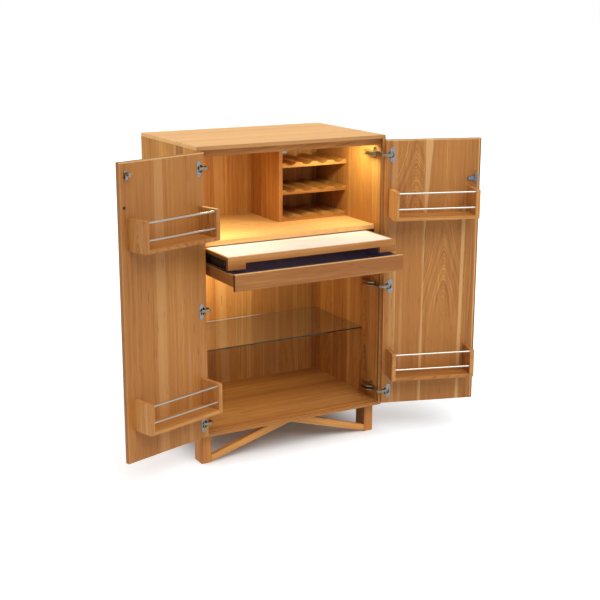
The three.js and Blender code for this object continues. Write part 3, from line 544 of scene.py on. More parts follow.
@dataclass(frozen=True)
class DoorPlane:
    """A door as it stands open: where its hinge axis is and which way it points."""

    side: Side
    axis_x: float = 0.443
    axis_y: float = -0.17337
    open_angle: float = math.radians(162)
    edge_start: float = 4 * MM
    inner_face: float = 25 * MM

    @property
    def origin(self) -> Vector:
        """The foot of the hinge axis on the floor."""
        return Vector((self.side.value * self.axis_x, self.axis_y, 0))

    @property
    def along(self) -> Vector:
        """From the hinge edge towards the free edge."""
        turn = math.pi - self.open_angle
        return Vector((self.side.value * math.cos(turn), -math.sin(turn), 0))

    @property
    def inward(self) -> Vector:
        """From the outer face through the inner face."""
        turn = math.pi - self.open_angle
        return Vector((-self.side.value * math.sin(turn), -math.cos(turn), 0))

    def span(self, direction: Vector, low: float, high: float) -> Span:
        """A stretch in a direction, measured from the hinge axis."""
        start = self.origin.dot(direction)
        return Span(tuple(direction), start + low, start + high)

    def point(self, from_edge: float, height: float, proud: float) -> Vector:
        """A place on the inner face.

        Args:
            from_edge: Distance from the door's hinge edge.
            height: Height above the floor.
            proud: How far the place stands off the inner face.

        Returns:
            The place in the armoire's frame.
        """
        flat = self.along * (self.edge_start + from_edge) + self.inward * (self.inner_face + proud)
        return self.origin + flat + Vector((0, 0, height))


@dataclass(frozen=True)
class Stave:
    """One board of a door: its start, tone and heart, and how steeply rings cross it at which height."""

    start: float
    tone: float
    heart: float
    slope: float
    crest: float = 0.7


@dataclass(frozen=True)
class Streak:
    """A pale streak of sapwood up a door. Its foot and head are a height, a middle and a half width."""

    foot: Triple
    head: Triple
    ragged: float = 5 * MM
    edge: float = 3 * MM
    fade: float = 0.07
    swell_across: float = 4.0
    swell_along: float = 6.0

    def mask(self, tree: Tree, x: Socket, z: Socket) -> Socket:
        """Builds the streak's mask.

        Args:
            tree: The material's tree.
            x: Distance across the door.
            z: Height.

        Returns:
            1 on the streak and 0 off it.
        """
        low, centre_low, half_low = self.foot
        high, centre_high, half_high = self.head
        rise = tree.math("DIVIDE", tree.less(z, low), high - low)
        centre = tree.weighed(rise, centre_high - centre_low, centre_low)
        half = tree.weighed(rise, half_high - half_low, half_low)
        place = tree.join(tree.times(x, self.swell_across), 0.0, tree.times(z, self.swell_along))
        half = tree.weighed(tree.swing(tree.noise(place)), 2 * self.ragged, half)
        away = tree.less(tree.math("ABSOLUTE", tree.less(x, centre)), half)
        mask = tree.less(1.0, tree.smooth(away, -self.edge, self.edge))
        mask = tree.times(mask, tree.less(1.0, tree.smooth(z, high, high + self.fade)))
        return tree.times(mask, tree.smooth(z, low - self.fade, low))


@dataclass(frozen=True)
class Layout:
    """The staves and streaks of one door, from its hinge edge."""

    staves: tuple[Stave, ...]
    streaks: tuple[Streak, ...] = ()
    seam: float = 0.5 * MM
    pallor: float = 0.72

    def values(self, tree: Tree, vector: Socket, seed: float) -> Values:
        """Works out what the timber group takes on each stave.

        Args:
            tree: The material's tree.
            vector: Board coordinates.
            seed: Which boards the staves are cut from.

        Returns:
            The group's inputs.
        """
        x, _, z = tree.split(vector)
        starts = [stave.start for stave in self.staves[1:]]
        tests = [tree.math("GREATER_THAN", x, start) for start in starts]
        columns = {
            "Offset": [stave.heart for stave in self.staves],
            "Number": [seed + index for index in range(len(self.staves))],
            "Tone": [stave.tone for stave in self.staves],
            "Slope": [stave.slope for stave in self.staves],
            "Crest": [stave.crest for stave in self.staves],
        }
        values: Values = {}
        for socket, column in columns.items():
            values[socket] = column[0]
            for test, before, after in zip(tests, column, column[1:]):
                values[socket] = tree.weighed(test, after - before, values[socket])
        values["Offset"] = tree.less(x, values["Offset"])
        nearest: object = 1.0
        for start in starts:
            nearest = tree.math("MINIMUM", tree.math("ABSOLUTE", tree.less(x, start)), nearest)
        values["Seam"] = tree.math("LESS_THAN", nearest, self.seam)
        pale: object = 0.0
        for streak in self.streaks:
            pale = tree.math("MAXIMUM", streak.mask(tree, x, z), pale)
        values["Pale"] = tree.times(pale, self.pallor)
        return values


def new_material(name: str) -> tuple[Material, Tree, Node]:
    """Makes a material.

    Args:
        name: Its name.

    Returns:
        The material, its tree and its shader.
    """
    material = bpy.data.materials.new(name)
    material.use_nodes = True
    return material, Tree(material.node_tree), material.node_tree.nodes["Principled BSDF"]


@dataclass(frozen=True)
class Timber:
    """A lacquered timber finish."""

    name: str
    dark: Triple
    middle: Triple
    light: Triple
    stave: float = 0.085
    figure: float = 0.6
    sapwood: float = 0.3
    contrast: float = 1.0
    polish: float = 0.5
    gloss: float = 0.28
    coat: float = 0.04
    coat_roughness: float = 0.35
    relief: float = 0.25
    depth: float = 0.3 * MM

    def material(
        self,
        label: str,
        grain: Grain,
        seed: float,
        second: Grain | None = None,
        where: tuple[Bounds, ...] = (),
        bands: tuple[Band, ...] = (),
        layout: Layout | None = None,
    ) -> Material:
        """Makes the material of one board, or of a piece glued from boards that run two ways.

        Args:
            label: The material's own name.
            grain: How the piece's main boards lie.
            seed: Which staves the piece is cut from.
            second: How its other boards lie.
            where: Tests that all hold on the other boards.
            bands: Strips that show darker or paler.
            layout: The staves, where they are listed one by one.

        Returns:
            The material.
        """
        material, tree, shader = new_material(f"{self.name}_{label}")
        vector = grain.coordinates(tree)
        if second is not None:
            mask = where[0].mask(tree)
            for test in where[1:]:
                mask = tree.times(mask, test.mask(tree))
            ways = {0: mask, 4: vector, 5: second.coordinates(tree)}
            vector = tree.add("ShaderNodeMix", ways, data_type="VECTOR").outputs[1]
        if layout is None:
            even = {"Vector": vector, "Width": self.stave, "Seed": seed}
            staves = tree.add("ShaderNodeGroup", even, node_tree=Groups.staves.group).outputs
            values: Values = {socket: staves[socket] for socket in STAVE_SOCKETS}
        else:
            values = layout.values(tree, vector, seed)
        values |= {
            "Vector": vector,
            "Figure": self.figure,
            "Sapwood": self.sapwood,
            "Contrast": self.contrast,
            "Polish": self.polish,
            "Dark": (*self.dark, 1),
            "Middle": (*self.middle, 1),
            "Light": (*self.light, 1),
        }
        timber = tree.add("ShaderNodeGroup", node_tree=Groups.timber.group)
        tree.feed(timber, values)
        color = timber.outputs["Color"]
        for band in bands:
            color = band.over(tree, color)
        finish = {
            "Base Color": color,
            "Roughness": timber.outputs["Roughness"],
            "Specular IOR Level": self.gloss,
            "Coat Weight": self.coat,
            "Coat Roughness": self.coat_roughness,
            "Normal": tree.bump(timber.outputs["Height"], self.relief, self.depth),
        }
        tree.feed(shader, finish)
        return material


@dataclass(frozen=True)
class Coating:
    """A metal, plastic or felt finish."""

    name: str
    color: Triple
    metallic: float
    roughness: float
    spread: float = 0.12
    scale: float = 60.0
    relief: float = 0.05
    depth: float = 0.2 * MM
    sheen: float = 0.0
    mottle: float = 1.0
    stretch: Triple = (1.0, 1.0, 1.0)
    turn: float = 0.0

    def material(self, label: str = "", bands: tuple[Band, ...] = ()) -> Material:
        """Makes the material.

        Args:
            label: An ending for its name.
            bands: Strips of another colour.

        Returns:
            The material.
        """
        material, tree, shader = new_material(f"{self.name}_{label}" if label else self.name)
        place = {"Vector": tree.place(), "Rotation": (0, 0, self.turn), "Scale": self.stretch}
        values = {
            "Vector": tree.add("ShaderNodeMapping", place).outputs[0],
            "Scale": self.scale,
            "Base": self.roughness,
            "Spread": self.spread,
            "Mottle": self.mottle,
            "Color": (*self.color, 1),
        }
        smudge = tree.add("ShaderNodeGroup", node_tree=Groups.smudge.group)
        tree.feed(smudge, values)
        color = smudge.outputs["Color"]
        for band in bands:
            color = band.over(tree, color)
        finish = {
            "Base Color": color,
            "Roughness": smudge.outputs["Roughness"],
            "Metallic": self.metallic,
            "Sheen Weight": self.sheen,
            "Normal": tree.bump(smudge.outputs["Height"], self.relief, self.depth),
        }
        tree.feed(shader, finish)
        return material


@dataclass(frozen=True)
class FloatGlass:
    """Clear float glass, with the green that its polished edges show."""

    name: str = "float_glass"
    face: Triple = (0.90, 0.945, 0.92)
    edge: Triple = (0.05, 0.17, 0.10)
    upright: float = 0.3
    level: float = 0.8
    haze_scale: float = 9.0
    haze: float = 0.05
    transmission: float = 0.985
    refraction: float = 1.5
    gloss: float = 0.12

    def material(self) -> Material:
        """Makes the material.

        Returns:
            The material.
        """
        material, tree, shader = new_material(self.name)
        normal = tree.split(tree.add("ShaderNodeTexCoord").outputs["Normal"])
        flat = tree.smooth(tree.math("ABSOLUTE", normal[2]), self.upright, self.level)
        haze = tree.noise(tree.place(), scale=self.haze_scale, detail=3)
        finish = {
            "Base Color": tree.mix(flat, (*self.edge, 1), (*self.face, 1)),
            "Roughness": tree.times(haze, self.haze),
            "Transmission Weight": self.transmission,
            "IOR": self.refraction,
            "Specular IOR Level": self.gloss,
        }
        tree.feed(shader, finish)
        return material


CHERRY = Timber("cherry", (0.25, 0.082, 0.018), (0.42, 0.168, 0.038), (0.60, 0.285, 0.080))
CHERRY_DOOR = replace(CHERRY, name="door_cherry", figure=0.95, contrast=0.75)
# A brighter, less glossy copy of the cherry for the left side panel alone: painted light where the side light
# falls.
CHERRY_SIDE_LIT = Timber(
    "side_cherry", (0.31, 0.103, 0.015), (0.53, 0.215, 0.035), (0.76, 0.37, 0.077), gloss=0.1, coat=0.0
)
# A brighter copy of the cherry for the leg frames: painted light on legs that stand in the case's shade.
CHERRY_LEG_LIT = Timber(
    "leg_cherry", (0.36, 0.12, 0.026), (0.57, 0.225, 0.050), (0.72, 0.35, 0.10), figure=0.3
)
# A darker copy of the cherry for the drawer front and box: painted shade under the sliding board and beside
# the open left door.
CHERRY_SHADED = Timber(
    "deep_cherry", (0.17, 0.052, 0.014), (0.30, 0.108, 0.026), (0.44, 0.19, 0.050), figure=0.35
)
# A paler copy of the cherry for the top panel and the upper shelf: painted light on faces that look up.
CHERRY_LIT = Timber(
    "pale_cherry", (0.58, 0.27, 0.075), (0.76, 0.40, 0.135), (0.88, 0.53, 0.20), contrast=0.7
)
MAPLE = Timber(
    "maple",
    (0.71, 0.62, 0.515),
    (0.785, 0.71, 0.645),
    (0.84, 0.79, 0.74),
    stave=0.045,
    figure=0.25,
    sapwood=0.15,
)
BLACK_STEEL = Coating("black_steel", (0.020, 0.016, 0.016), 0.35, 0.42)
# Nickel and the hinge and lock steels take a strong mottle: painted reflections. The hinge steels' golden
# tint, and the arm's brighter base beside the link's, are painted reflections of the warm lamps.
NICKEL = Coating("nickel", (0.35, 0.355, 0.355), 1.0, 0.2, spread=0.2, scale=220, mottle=6.0)
ARM_STEEL_LIT = Coating("arm_steel", (0.56, 0.46, 0.31), 1.0, 0.3, spread=0.3, scale=330, mottle=13.0)
LINK_STEEL = Coating("link_steel", (0.36, 0.30, 0.215), 1.0, 0.26, spread=0.3, scale=330, mottle=12.0)
LOCK_STEEL = Coating("lock_steel", (0.21, 0.235, 0.265), 1.0, 0.24, spread=0.2, scale=90, mottle=2.5)
SATIN_STEEL = Coating("satin_rod", (0.64, 0.62, 0.55), 1.0, 0.3, scale=300, stretch=(0.03, 1, 1))
FELT = Coating("felt", (0.36, 0.32, 0.56), 0.0, 0.95, spread=0.05, scale=900, relief=0.6, sheen=0.15)
DARK_PLASTIC = Coating("dark_plastic", (0.012, 0.012, 0.014), 0.0, 0.5)

# End grain's brown, also laid on the sliding board's side faces as painted shade.
END_GRAIN_AND_SHADE = (0.17, 0.062, 0.022)
# Dark glue lines and joints, also laid on as painted shade: on the side panels' inner strips and, with the
# end grain, on the drawer front's ends.
JOINT_AND_SHADE = (0.10, 0.030, 0.012)
# Pale rims: a paler lipping on the doors' inner faces, and a painted highlight on the drawer front's top
# face.
RIM_AND_HIGHLIGHT = (0.86, 0.54, 0.22)
ZINC = (0.30, 0.31, 0.22)

UP_FRONT = Grain(Z_AXIS, X_AXIS)
UP_SIDE = Grain(Z_AXIS, Y_AXIS)
ACROSS_FLAT = Grain(X_AXIS, Y_AXIS)
ACROSS_FRONT = Grain(X_AXIS, Z_AXIS)
BACK_FLAT = Grain(Y_AXIS, X_AXIS)
BACK_SIDE = Grain(Y_AXIS, Z_AXIS)

DOOR_LAYOUTS = {
    Side.LEFT: Layout(
        (
            Stave(0.0, 0.48, 0.30, 0.03, 2.0),
            Stave(0.127, 0.60, 0.36, 0.06, 2.0),
            Stave(0.289, 0.34, 0.10, 0.03, 2.0),
        ),
    ),
    Side.RIGHT: Layout(
        (
            Stave(0.0, 0.42, -0.10, 0.03),
            Stave(0.060, 0.56, 0.141, 0.32, 1.20),
            Stave(0.184, 0.46, 0.285, 0.30, 0.76),
            Stave(0.382, 0.14, 0.60, 0.02),
        ),
        (
            Streak((0.96, 0.190, 2.5 * MM), (1.37, 0.204, 17 * MM)),
            Streak((0.155, 0.183, 6 * MM), (1.0, 0.189, 2 * MM)),
            Streak((0.155, 0.366, 8 * MM), (1.02, 0.373, 7 * MM)),
        ),
    ),
}


def add_object(name: str, data: bpy.types.ID) -> bpy.types.Object:
    """Adds an object to the scene.

    Args:
        name: Its name.
        data: Its mesh, light or camera.

    Returns:
        The object.
    """
    made = bpy.data.objects.new(name, data)
    bpy.context.scene.collection.objects.link(made)
    return made


def add_mesh(mesh: bmesh.types.BMesh, name: str, material: Material) -> bpy.types.Object:
    """Adds an object with a mesh.

    Args:
        mesh: The mesh, in place. It is freed.
        name: The object's name.
        material: Its material.

    Returns:
        The object.
    """
    data = bpy.data.meshes.new(name)
    mesh.to_mesh(data)
    mesh.free()
    data.materials.append(material)
    return add_object(name, data)


def finish_piece(mesh: bmesh.types.BMesh, name: str, body: str, material: Material) -> None:
    """Turns a mesh into a piece that rides on a body.

    Args:
        mesh: The mesh, in place. It is freed.
        name: The piece's name.
        body: The body that it rides on.
        material: Its material.
    """
    bmesh.ops.remove_doubles(mesh, verts=mesh.verts, dist=MERGE_DISTANCE)
    bmesh.ops.recalc_face_normals(mesh, faces=mesh.faces)
    piece = add_mesh(mesh, name, material)
    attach(piece, body)
    LOG.info("%s: %d faces on %s", name, len(piece.data.polygons), body)


def turned_to(normal: Vector, place: Vector) -> Matrix:
    """A placement that takes the origin to a place and +Z to a direction."""
    return Matrix.Translation(place) @ normal.to_track_quat("Z", "Y").to_matrix().to_4x4()


@dataclass
class Screws:
    """Countersunk screw heads with a cross recess, gathered into one mesh for each body."""

    radius: float = 3.6 * MM
    dome: float = 0.5 * MM
    bevel: float = 0.35 * MM
    inset: float = 0.35
    waist: float = 0.42
    recess: float = 0.44 * MM
    segments: int = 16
    arms: int = 4
    mesh: bmesh.types.BMesh = field(default_factory=bmesh.new)

    def add(self, place: Vector, normal: Vector, scale: float = 1.0) -> None:
        """Adds a screw head.

        Args:
            place: The middle of its seat.
            normal: The way it faces.
            scale: Its size against the usual head.
        """
        matrix = turned_to(normal, place) @ Matrix.Scale(scale, 4)
        head = bmesh.ops.create_cone(
            self.mesh,
            cap_ends=True,
            segments=self.segments,
            radius1=self.radius,
            radius2=self.radius - self.bevel,
            depth=self.dome,
            matrix=matrix @ Matrix.Translation((0, 0, self.dome / 2)),
        )
        up = matrix.to_3x3() @ Vector((0, 0, 1))
        # The outer cap is the farthest face along the way up. A side has only four corners.
        top = max(
            {face for vert in head["verts"] for face in vert.link_faces},
            key=lambda face: face.calc_center_median().dot(up) + (len(face.verts) > 4),
        )
        width = self.radius * scale * self.inset
        bmesh.ops.inset_region(self.mesh, faces=[top], thickness=width, use_even_offset=True)
        centre = top.calc_center_median()
        for index, vert in enumerate(top.verts):
            if index % (self.segments // self.arms) != 0:
                vert.co = centre + (vert.co - centre) * self.waist
        sunk = bmesh.ops.extrude_discrete_faces(self.mesh, faces=[top])["faces"][0]
        bmesh.ops.translate(self.mesh, verts=sunk.verts, vec=-up.normalized() * self.recess)

    def finish(self, body: str, material: Material) -> None:
        """Makes the piece, named after the body that it rides on."""
        finish_piece(self.mesh, f"{body}_screws", body, material)


@dataclass
class Assembly:
    """A sub-assembly, with the CAD nodes that it dresses."""

    nodes: dict[str, bpy.types.Object]

    def dress(self, name: str, material: Material) -> None:
        """Gives a CAD node its material."""
        self.nodes[name].data.materials.clear()
        self.nodes[name].data.materials.append(material)


@dataclass
class Case(Assembly):
    """The case: its panels, leg frames, shelves and what is fixed inside it."""

    metal: Material
    steel: Material
    inner_half: float = 0.441
    front: float = -0.16737
    face_half: float = 1 * MM
    lipping_start: float = 0.5 * MM
    lipping_end: float = 14 * MM
    joint_half: float = 0.9 * MM
    floor_glue: float = 0.1475
    leg_inner: float = 0.394
    brace_slope: float = math.radians(16.7)
    plate_proud: float = 2.5 * MM
    plate_screw: float = 58 * MM
    plate_lift: float = 18.5 * MM
    strike_shares: tuple[float, float] = (0.27, 0.73)
    strike_screw: float = 5 * MM
    strike_sunk: float = 2 * MM
    back_margin: float = 12 * MM
    back_side: float = 9 * MM
    back_rows: int = 6

    def build(self) -> None:
        """Dresses the case and adds its small fittings."""
        self.dress_panels()
        self.dress_legs()
        self.dress_bays()
        self.add_screws()

    def dress_panels(self) -> None:
        """Gives the case's panels their timber."""
        face = around(Y_AXIS, self.front, self.face_half)
        joint = around(Z_AXIS, self.floor_glue, self.joint_half)
        glue = Band((face, joint), JOINT_AND_SHADE, share=0.75)
        lip_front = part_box("top_panel")[0].y
        lip = Band((around(Y_AXIS, lip_front, self.face_half),), END_GRAIN_AND_SHADE, share=0.5)
        self.dress("top_panel", CHERRY_LIT.material("top", ACROSS_FLAT, seed=3.2, bands=(lip,)))
        self.dress("bottom_panel", CHERRY.material("floor", ACROSS_FLAT, seed=8.4, bands=(glue,)))
        self.dress("back_panel", CHERRY.material("back", UP_FRONT, seed=5.1))
        self.dress("header_rail", CHERRY.material("header", ACROSS_FRONT, seed=1.3))
        # A dark strip on each side panel's inner face, from the front edge some 14 mm back: painted shade.
        inside = around(X_AXIS, 0.0, self.inner_half + self.face_half)
        shaded_strip = Span(Y_AXIS, self.front + self.lipping_start, self.front + self.lipping_end)
        edge = Band((inside, shaded_strip), JOINT_AND_SHADE, share=0.7)
        # The left side panel takes the brighter copy of the cherry, which is painted light.
        for side, timber, seed in ((Side.LEFT, CHERRY_SIDE_LIT, 12.6), (Side.RIGHT, CHERRY, 17.9)):
            material = timber.material(f"{side.word}_side", UP_SIDE, seed, bands=(edge,))
            self.dress(f"{side.word}_side_panel", material)

    def dress_legs(self) -> None:
        """Gives the leg frames timber that runs up the legs and along the leaning brace."""
        cosine, sine = math.cos(self.brace_slope), math.sin(self.brace_slope)
        brace = Grain((-cosine, 0, sine), (sine, 0, cosine), mirrored=True)
        legs = Bounds(X_AXIS, 0.0, self.leg_inner)
        ends = (around((side.value, 0, 0), self.leg_inner, self.joint_half) for side in Side)
        joints = tuple(Band((end,), JOINT_AND_SHADE, share=0.7) for end in ends)
        for place, seed in (("front", 2.7), ("rear", 6.3)):
            material = CHERRY_LEG_LIT.material(f"{place}_legs", brace, seed, UP_FRONT, (legs,), joints)
            self.dress(f"{place}_leg_frame", material)

    def dress_bays(self) -> None:
        """Gives the shelves, racks and runners inside the case their finishes."""
        self.dress("upper_shelf", CHERRY_LIT.material("shelf", ACROSS_FLAT, seed=4.9))
        self.dress("bay_divider", CHERRY.material("divider", UP_SIDE, seed=21.5))
        for level, seed in (("lower", 7.7), ("middle", 9.2), ("upper", 10.8)):
            self.dress(f"{level}_wine_shelf", CHERRY.material(f"{level}_wine", ACROSS_FLAT, seed))
        self.dress("stemware_rack", CHERRY.material("stemware", BACK_FLAT, seed=14.1))
        self.dress("glass_shelf", FloatGlass().material())
        self.dress("catch_strike", self.metal)
        # The runner spacers are black, and their black also paints the shade of the gap beside the board.
        black = BLACK_STEEL.material()
        for side in Side:
            self.dress(f"{side.word}_runner_spacer", black)
            for level in LEVELS:
                self.dress(f"{side.word}_{level}_hinge_arm", self.steel)

    def add_screws(self) -> None:
        """Adds the screws of the hinge arms' plates, the strike and the back panel."""
        screws = Screws()
        for side in Side:
            for level in LEVELS:
                low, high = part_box(f"{side.word}_{level}_hinge_arm")
                for lift in (-self.plate_lift, self.plate_lift):
                    across = side.value * (self.inner_half - self.plate_proud)
                    height = (low.z + high.z) / 2 + lift
                    place = Vector((across, self.front + self.plate_screw, height))
                    screws.add(place, Vector((-side.value, 0, 0)))
        low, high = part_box("catch_strike")
        for share in self.strike_shares:
            across = low.x + (high.x - low.x) * share
            place = Vector((across, low.y + self.strike_screw, high.z - self.strike_sunk))
            screws.add(place, Vector((0, 0, -1)), scale=0.6)
        low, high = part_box("back_panel")
        rise = (high.z - low.z - 2 * self.back_margin) / (self.back_rows - 1)
        for side in Side:
            across = side.value * (self.inner_half - self.back_side)
            for row in range(self.back_rows):
                place = Vector((across, high.y, low.z + self.back_margin + rise * row))
                screws.add(place, Vector((0, 1, 0)), scale=0.8)
        screws.finish("case", self.metal)


@dataclass
class Door(Assembly):
    """A door with its racks, hinge cups, and its catch or lock."""

    side: Side
    metal: Material
    steel: Material
    seed: float
    top: float = 1.37
    width: float = 0.438
    rim: float = 6 * MM
    rim_share: float = 0.35
    rack_length: float = 0.388
    rack_start: float = 17 * MM
    rack_end: float = 19 * MM
    hinge_screw: float = 31 * MM
    hinge_lift: float = 25 * MM
    hinge_proud: float = 1.8 * MM
    catch_screw: float = 408 * MM
    catch_height: float = 1.322
    catch_lift: float = 11 * MM
    catch_proud: float = 2.3 * MM
    lock_screw: float = 386 * MM
    lock_height: float = 1.192
    lock_proud: float = 9.3 * MM
    bumper_place: float = 418.5 * MM
    bumper_height: float = 1.195
    bumper_radius: float = 6.2 * MM
    bumper_depth: float = 2 * MM
    bumper_round: float = 0.7 * MM

    def build(self) -> None:
        """Dresses the door and adds its small fittings."""
        self.plane = DoorPlane(self.side)
        self.dress_leaf()
        self.dress_racks()
        self.dress_metal()
        self.add_screws()
        if self.side is Side.LEFT:
            self.add_bumper()

    def dress_leaf(self) -> None:
        """Gives the door leaf boards that run up it."""
        grain = Grain(Z_AXIS, tuple(self.plane.along), tuple(self.plane.origin))
        label, layout = f"{self.side.word}_door", DOOR_LAYOUTS[self.side]
        self.dress(label, CHERRY_DOOR.material(label, grain, self.seed, bands=self.rims(), layout=layout))

    def rims(self) -> tuple[Band, ...]:
        """The pale lines along the inner face's rims and the brown end grain and edge outside them.

        Returns:
            The strips of the door leaf.
        """
        plane = self.plane
        face = plane.span(plane.inward, plane.inner_face - SKIN, plane.inner_face + SKIN)
        edge = plane.edge_start + self.width
        start = edge - self.rim * (2 if self.side is Side.RIGHT else 1)
        return (
            Band((face, Span(Z_AXIS, self.top - self.rim, self.top - SKIN)), RIM_AND_HIGHLIGHT, share=0.5),
            Band((face, plane.span(plane.along, start, start + self.rim)), RIM_AND_HIGHLIGHT, self.rim_share),
            Band((face, plane.span(plane.along, start + self.rim, edge)), END_GRAIN_AND_SHADE, share=0.45),
            Band((plane.span(plane.along, edge - SKIN, edge + SKIN),), END_GRAIN_AND_SHADE, share=0.4),
            Band((around(Z_AXIS, self.top),), END_GRAIN_AND_SHADE, share=0.6),
        )

    def dress_racks(self) -> None:
        """Gives the racks upright end boards, a long bottom board and satin rods."""
        plane, word = self.plane, self.side.word
        along, inward, origin = tuple(plane.along), tuple(plane.inward), tuple(plane.origin)
        middle = plane.edge_start + self.rack_start + self.rack_length / 2
        half = self.rack_length / 2 - self.rack_end
        ends = Bounds(along, plane.origin.dot(plane.along) + middle, half)
        rod = replace(SATIN_STEEL, turn=-math.atan2(plane.along.y, plane.along.x)).material(word)
        flat, upright = Grain(along, inward, origin), Grain(Z_AXIS, inward, origin)
        for level, seed in (("upper", self.seed + 3.3), ("lower", self.seed + 5.8)):
            rack = f"{word}_{level}_rack"
            self.dress(rack, CHERRY.material(rack, flat, seed, second=upright, where=(ends,)))
            self.dress(f"{rack}_top_rod", rod)
            self.dress(f"{rack}_low_rod", rod)

    def dress_metal(self) -> None:
        """Gives the hinge cups, links, catch and lock their metals."""
        for level in LEVELS:
            self.dress(f"{self.side.word}_{level}_hinge_cup", self.metal)
            self.dress(f"{self.side.word}_{level}_hinge_link", self.steel)
        if self.side is Side.LEFT:
            self.dress("elbow_catch_base", self.steel)
            self.dress("elbow_catch_lever", self.metal)
        else:
            lock = LOCK_STEEL.material()
            self.dress("lock_body", lock)
            self.dress("lock_cam", lock)

    def add_screws(self) -> None:
        """Adds the screws of the hinge flanges and of the catch or the lock."""
        plane, screws = self.plane, Screws()
        for level in LEVELS:
            low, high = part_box(f"{self.side.word}_{level}_hinge_cup")
            for lift in (-self.hinge_lift, self.hinge_lift):
                height = (low.z + high.z) / 2 + lift
                screws.add(plane.point(self.hinge_screw, height, self.hinge_proud), plane.inward)
        if self.side is Side.LEFT:
            for lift in (-self.catch_lift, self.catch_lift):
                place = plane.point(self.catch_screw, self.catch_height + lift, self.catch_proud)
                screws.add(place, plane.inward, scale=0.7)
        else:
            place = plane.point(self.lock_screw, self.lock_height, self.lock_proud)
            screws.add(place, plane.inward, scale=0.8)
        screws.finish(f"{self.side.word}_door", self.metal)

    def add_bumper(self) -> None:
        """Adds the black bumper near the free edge."""
        mesh = bmesh.new()
        seat = self.plane.point(self.bumper_place, self.bumper_height, self.bumper_depth / 2)
        bmesh.ops.create_cone(
            mesh,
            cap_ends=True,
            segments=28,
            radius1=self.bumper_radius,
            radius2=self.bumper_radius,
            depth=self.bumper_depth,
            matrix=turned_to(self.plane.inward, seat),
        )
        rims = [edge for edge in mesh.edges if edge.calc_face_angle(0.0) > SHARP_ANGLE]
        bmesh.ops.bevel(
            mesh,
            geom=rims,
            offset=self.bumper_round,
            offset_type="OFFSET",
            segments=3,
            profile=0.5,
            affect="EDGES",
            material=-1,
        )
        finish_piece(mesh, "strike_bumper", "left_door", DARK_PLASTIC.material())


@dataclass
class SlidingBoard(Assembly):
    """The board that slides out under the upper bay."""

    side_strip: float = 0.3955
    front: float = -0.33837
    rail: float = 16 * MM
    edge_low: float = 2.5 * MM
    edge_high: float = 1 * MM
    slot_start: float = 30 * MM
    slot_pitch: float = 26 * MM
    slot_length: float = 9 * MM
    slot_half: float = 3 * MM
    slots: int = 11

    def build(self) -> None:
        """Gives the board's pieces their finishes."""
        strips = Bounds(X_AXIS, 0.0, self.side_strip)
        behind = Bounds(Y_AXIS, self.front, self.rail)
        low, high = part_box("board_frame")
        # The frame's side faces are long grain, laid dark as painted shade.
        shaded_flanks = tuple(Band((around(X_AXIS, x),), END_GRAIN_AND_SHADE, share=0.75) for x in (low.x, high.x))
        frame = CHERRY.material("board_frame", ACROSS_FRONT, 5.9, BACK_SIDE, (strips, behind), shaded_flanks)
        self.dress("board_frame", frame)
        self.dress("maple_board", MAPLE.material("board", ACROSS_FLAT, seed=2.2))
        low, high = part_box("left_board_slide")
        edge = Span(Z_AXIS, high.z - self.edge_low, high.z - self.edge_high)
        middle = around(Z_AXIS, (low.z + high.z) / 2, self.slot_half)
        bands = [Band((edge,), ZINC, share=0.4)]
        for index in range(self.slots):
            start = low.y + self.slot_start + self.slot_pitch * index
            bands.append(Band((middle, Span(Y_AXIS, start, start + self.slot_length)), ZINC, share=0.3))
        black = BLACK_STEEL.material("slide", tuple(bands))
        for side in Side:
            self.dress(f"{side.word}_board_slide", black)


@dataclass
class Drawer(Assembly):
    """The drawer under the board, with its felt lining."""

    wall: float = 12 * MM
    felt: float = 1.2 * MM
    clearance: float = 0.3 * MM
    lining_drop: float = 2 * MM
    upward: float = 0.9

    def build(self) -> None:
        """Dresses the drawer and lines it."""
        front_low, front_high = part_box("drawer_front")
        shaded_flanks = (front_low.x, front_high.x)
        # The front's ends are end grain, laid very dark: end grain, and painted shade from the open left
        # door.
        strips = [Band((around(X_AXIS, shaded_flank),), JOINT_AND_SHADE, share=0.9) for shaded_flank in shaded_flanks]
        # A pale line along the front's top face: a painted highlight.
        strips.append(Band((around(Z_AXIS, front_high.z),), RIM_AND_HIGHLIGHT, share=0.6))
        leaf = CHERRY_SHADED.material("drawer_front", ACROSS_FRONT, 15.4, bands=tuple(strips))
        self.dress("drawer_front", leaf)
        low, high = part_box("drawer_box")
        sides = Bounds(X_AXIS, 0.0, high.x - self.wall)
        box = CHERRY_SHADED.material("drawer_box", ACROSS_FRONT, 11.6, second=BACK_SIDE, where=(sides,))
        self.dress("drawer_box", box)
        self.add_lining(low, high)

    def add_lining(self, low: Vector, high: Vector) -> None:
        """Adds the tray of felt on the drawer's bottom and walls.

        Args:
            low: The drawer box's lowest corner.
            high: Its highest corner.
        """
        gap = self.wall + self.clearance
        inner_low = Vector((low.x + gap, low.y + gap, low.z + gap))
        inner_high = Vector((high.x - gap, high.y - gap, high.z - self.lining_drop))
        centre = Matrix.Translation((inner_low + inner_high) / 2)
        size = Matrix.Diagonal((*(inner_high - inner_low), 1))
        mesh = bmesh.new()
        bmesh.ops.create_cube(mesh, size=1, matrix=centre @ size)
        top = [face for face in mesh.faces if face.normal.z > self.upward]
        bmesh.ops.delete(mesh, geom=top, context="FACES_ONLY")
        bmesh.ops.recalc_face_normals(mesh, faces=mesh.faces)
        bmesh.ops.solidify(mesh, geom=mesh.faces[:], thickness=self.felt)
        finish_piece(mesh, "drawer_lining", "drawer", FELT.material())


def add_light(name: str, kind: str, color: Triple, energy: float) -> bpy.types.Object:
    """Adds a light to the scene.

    Args:
        name: Its name.
        kind: Its type.
        color: Its colour.
        energy: Its power or strength.

    Returns:
        The light's object.
    """
    data = bpy.data.lights.new(name, kind)
    data.energy = energy
    data.color = color
    return add_object(name, data)


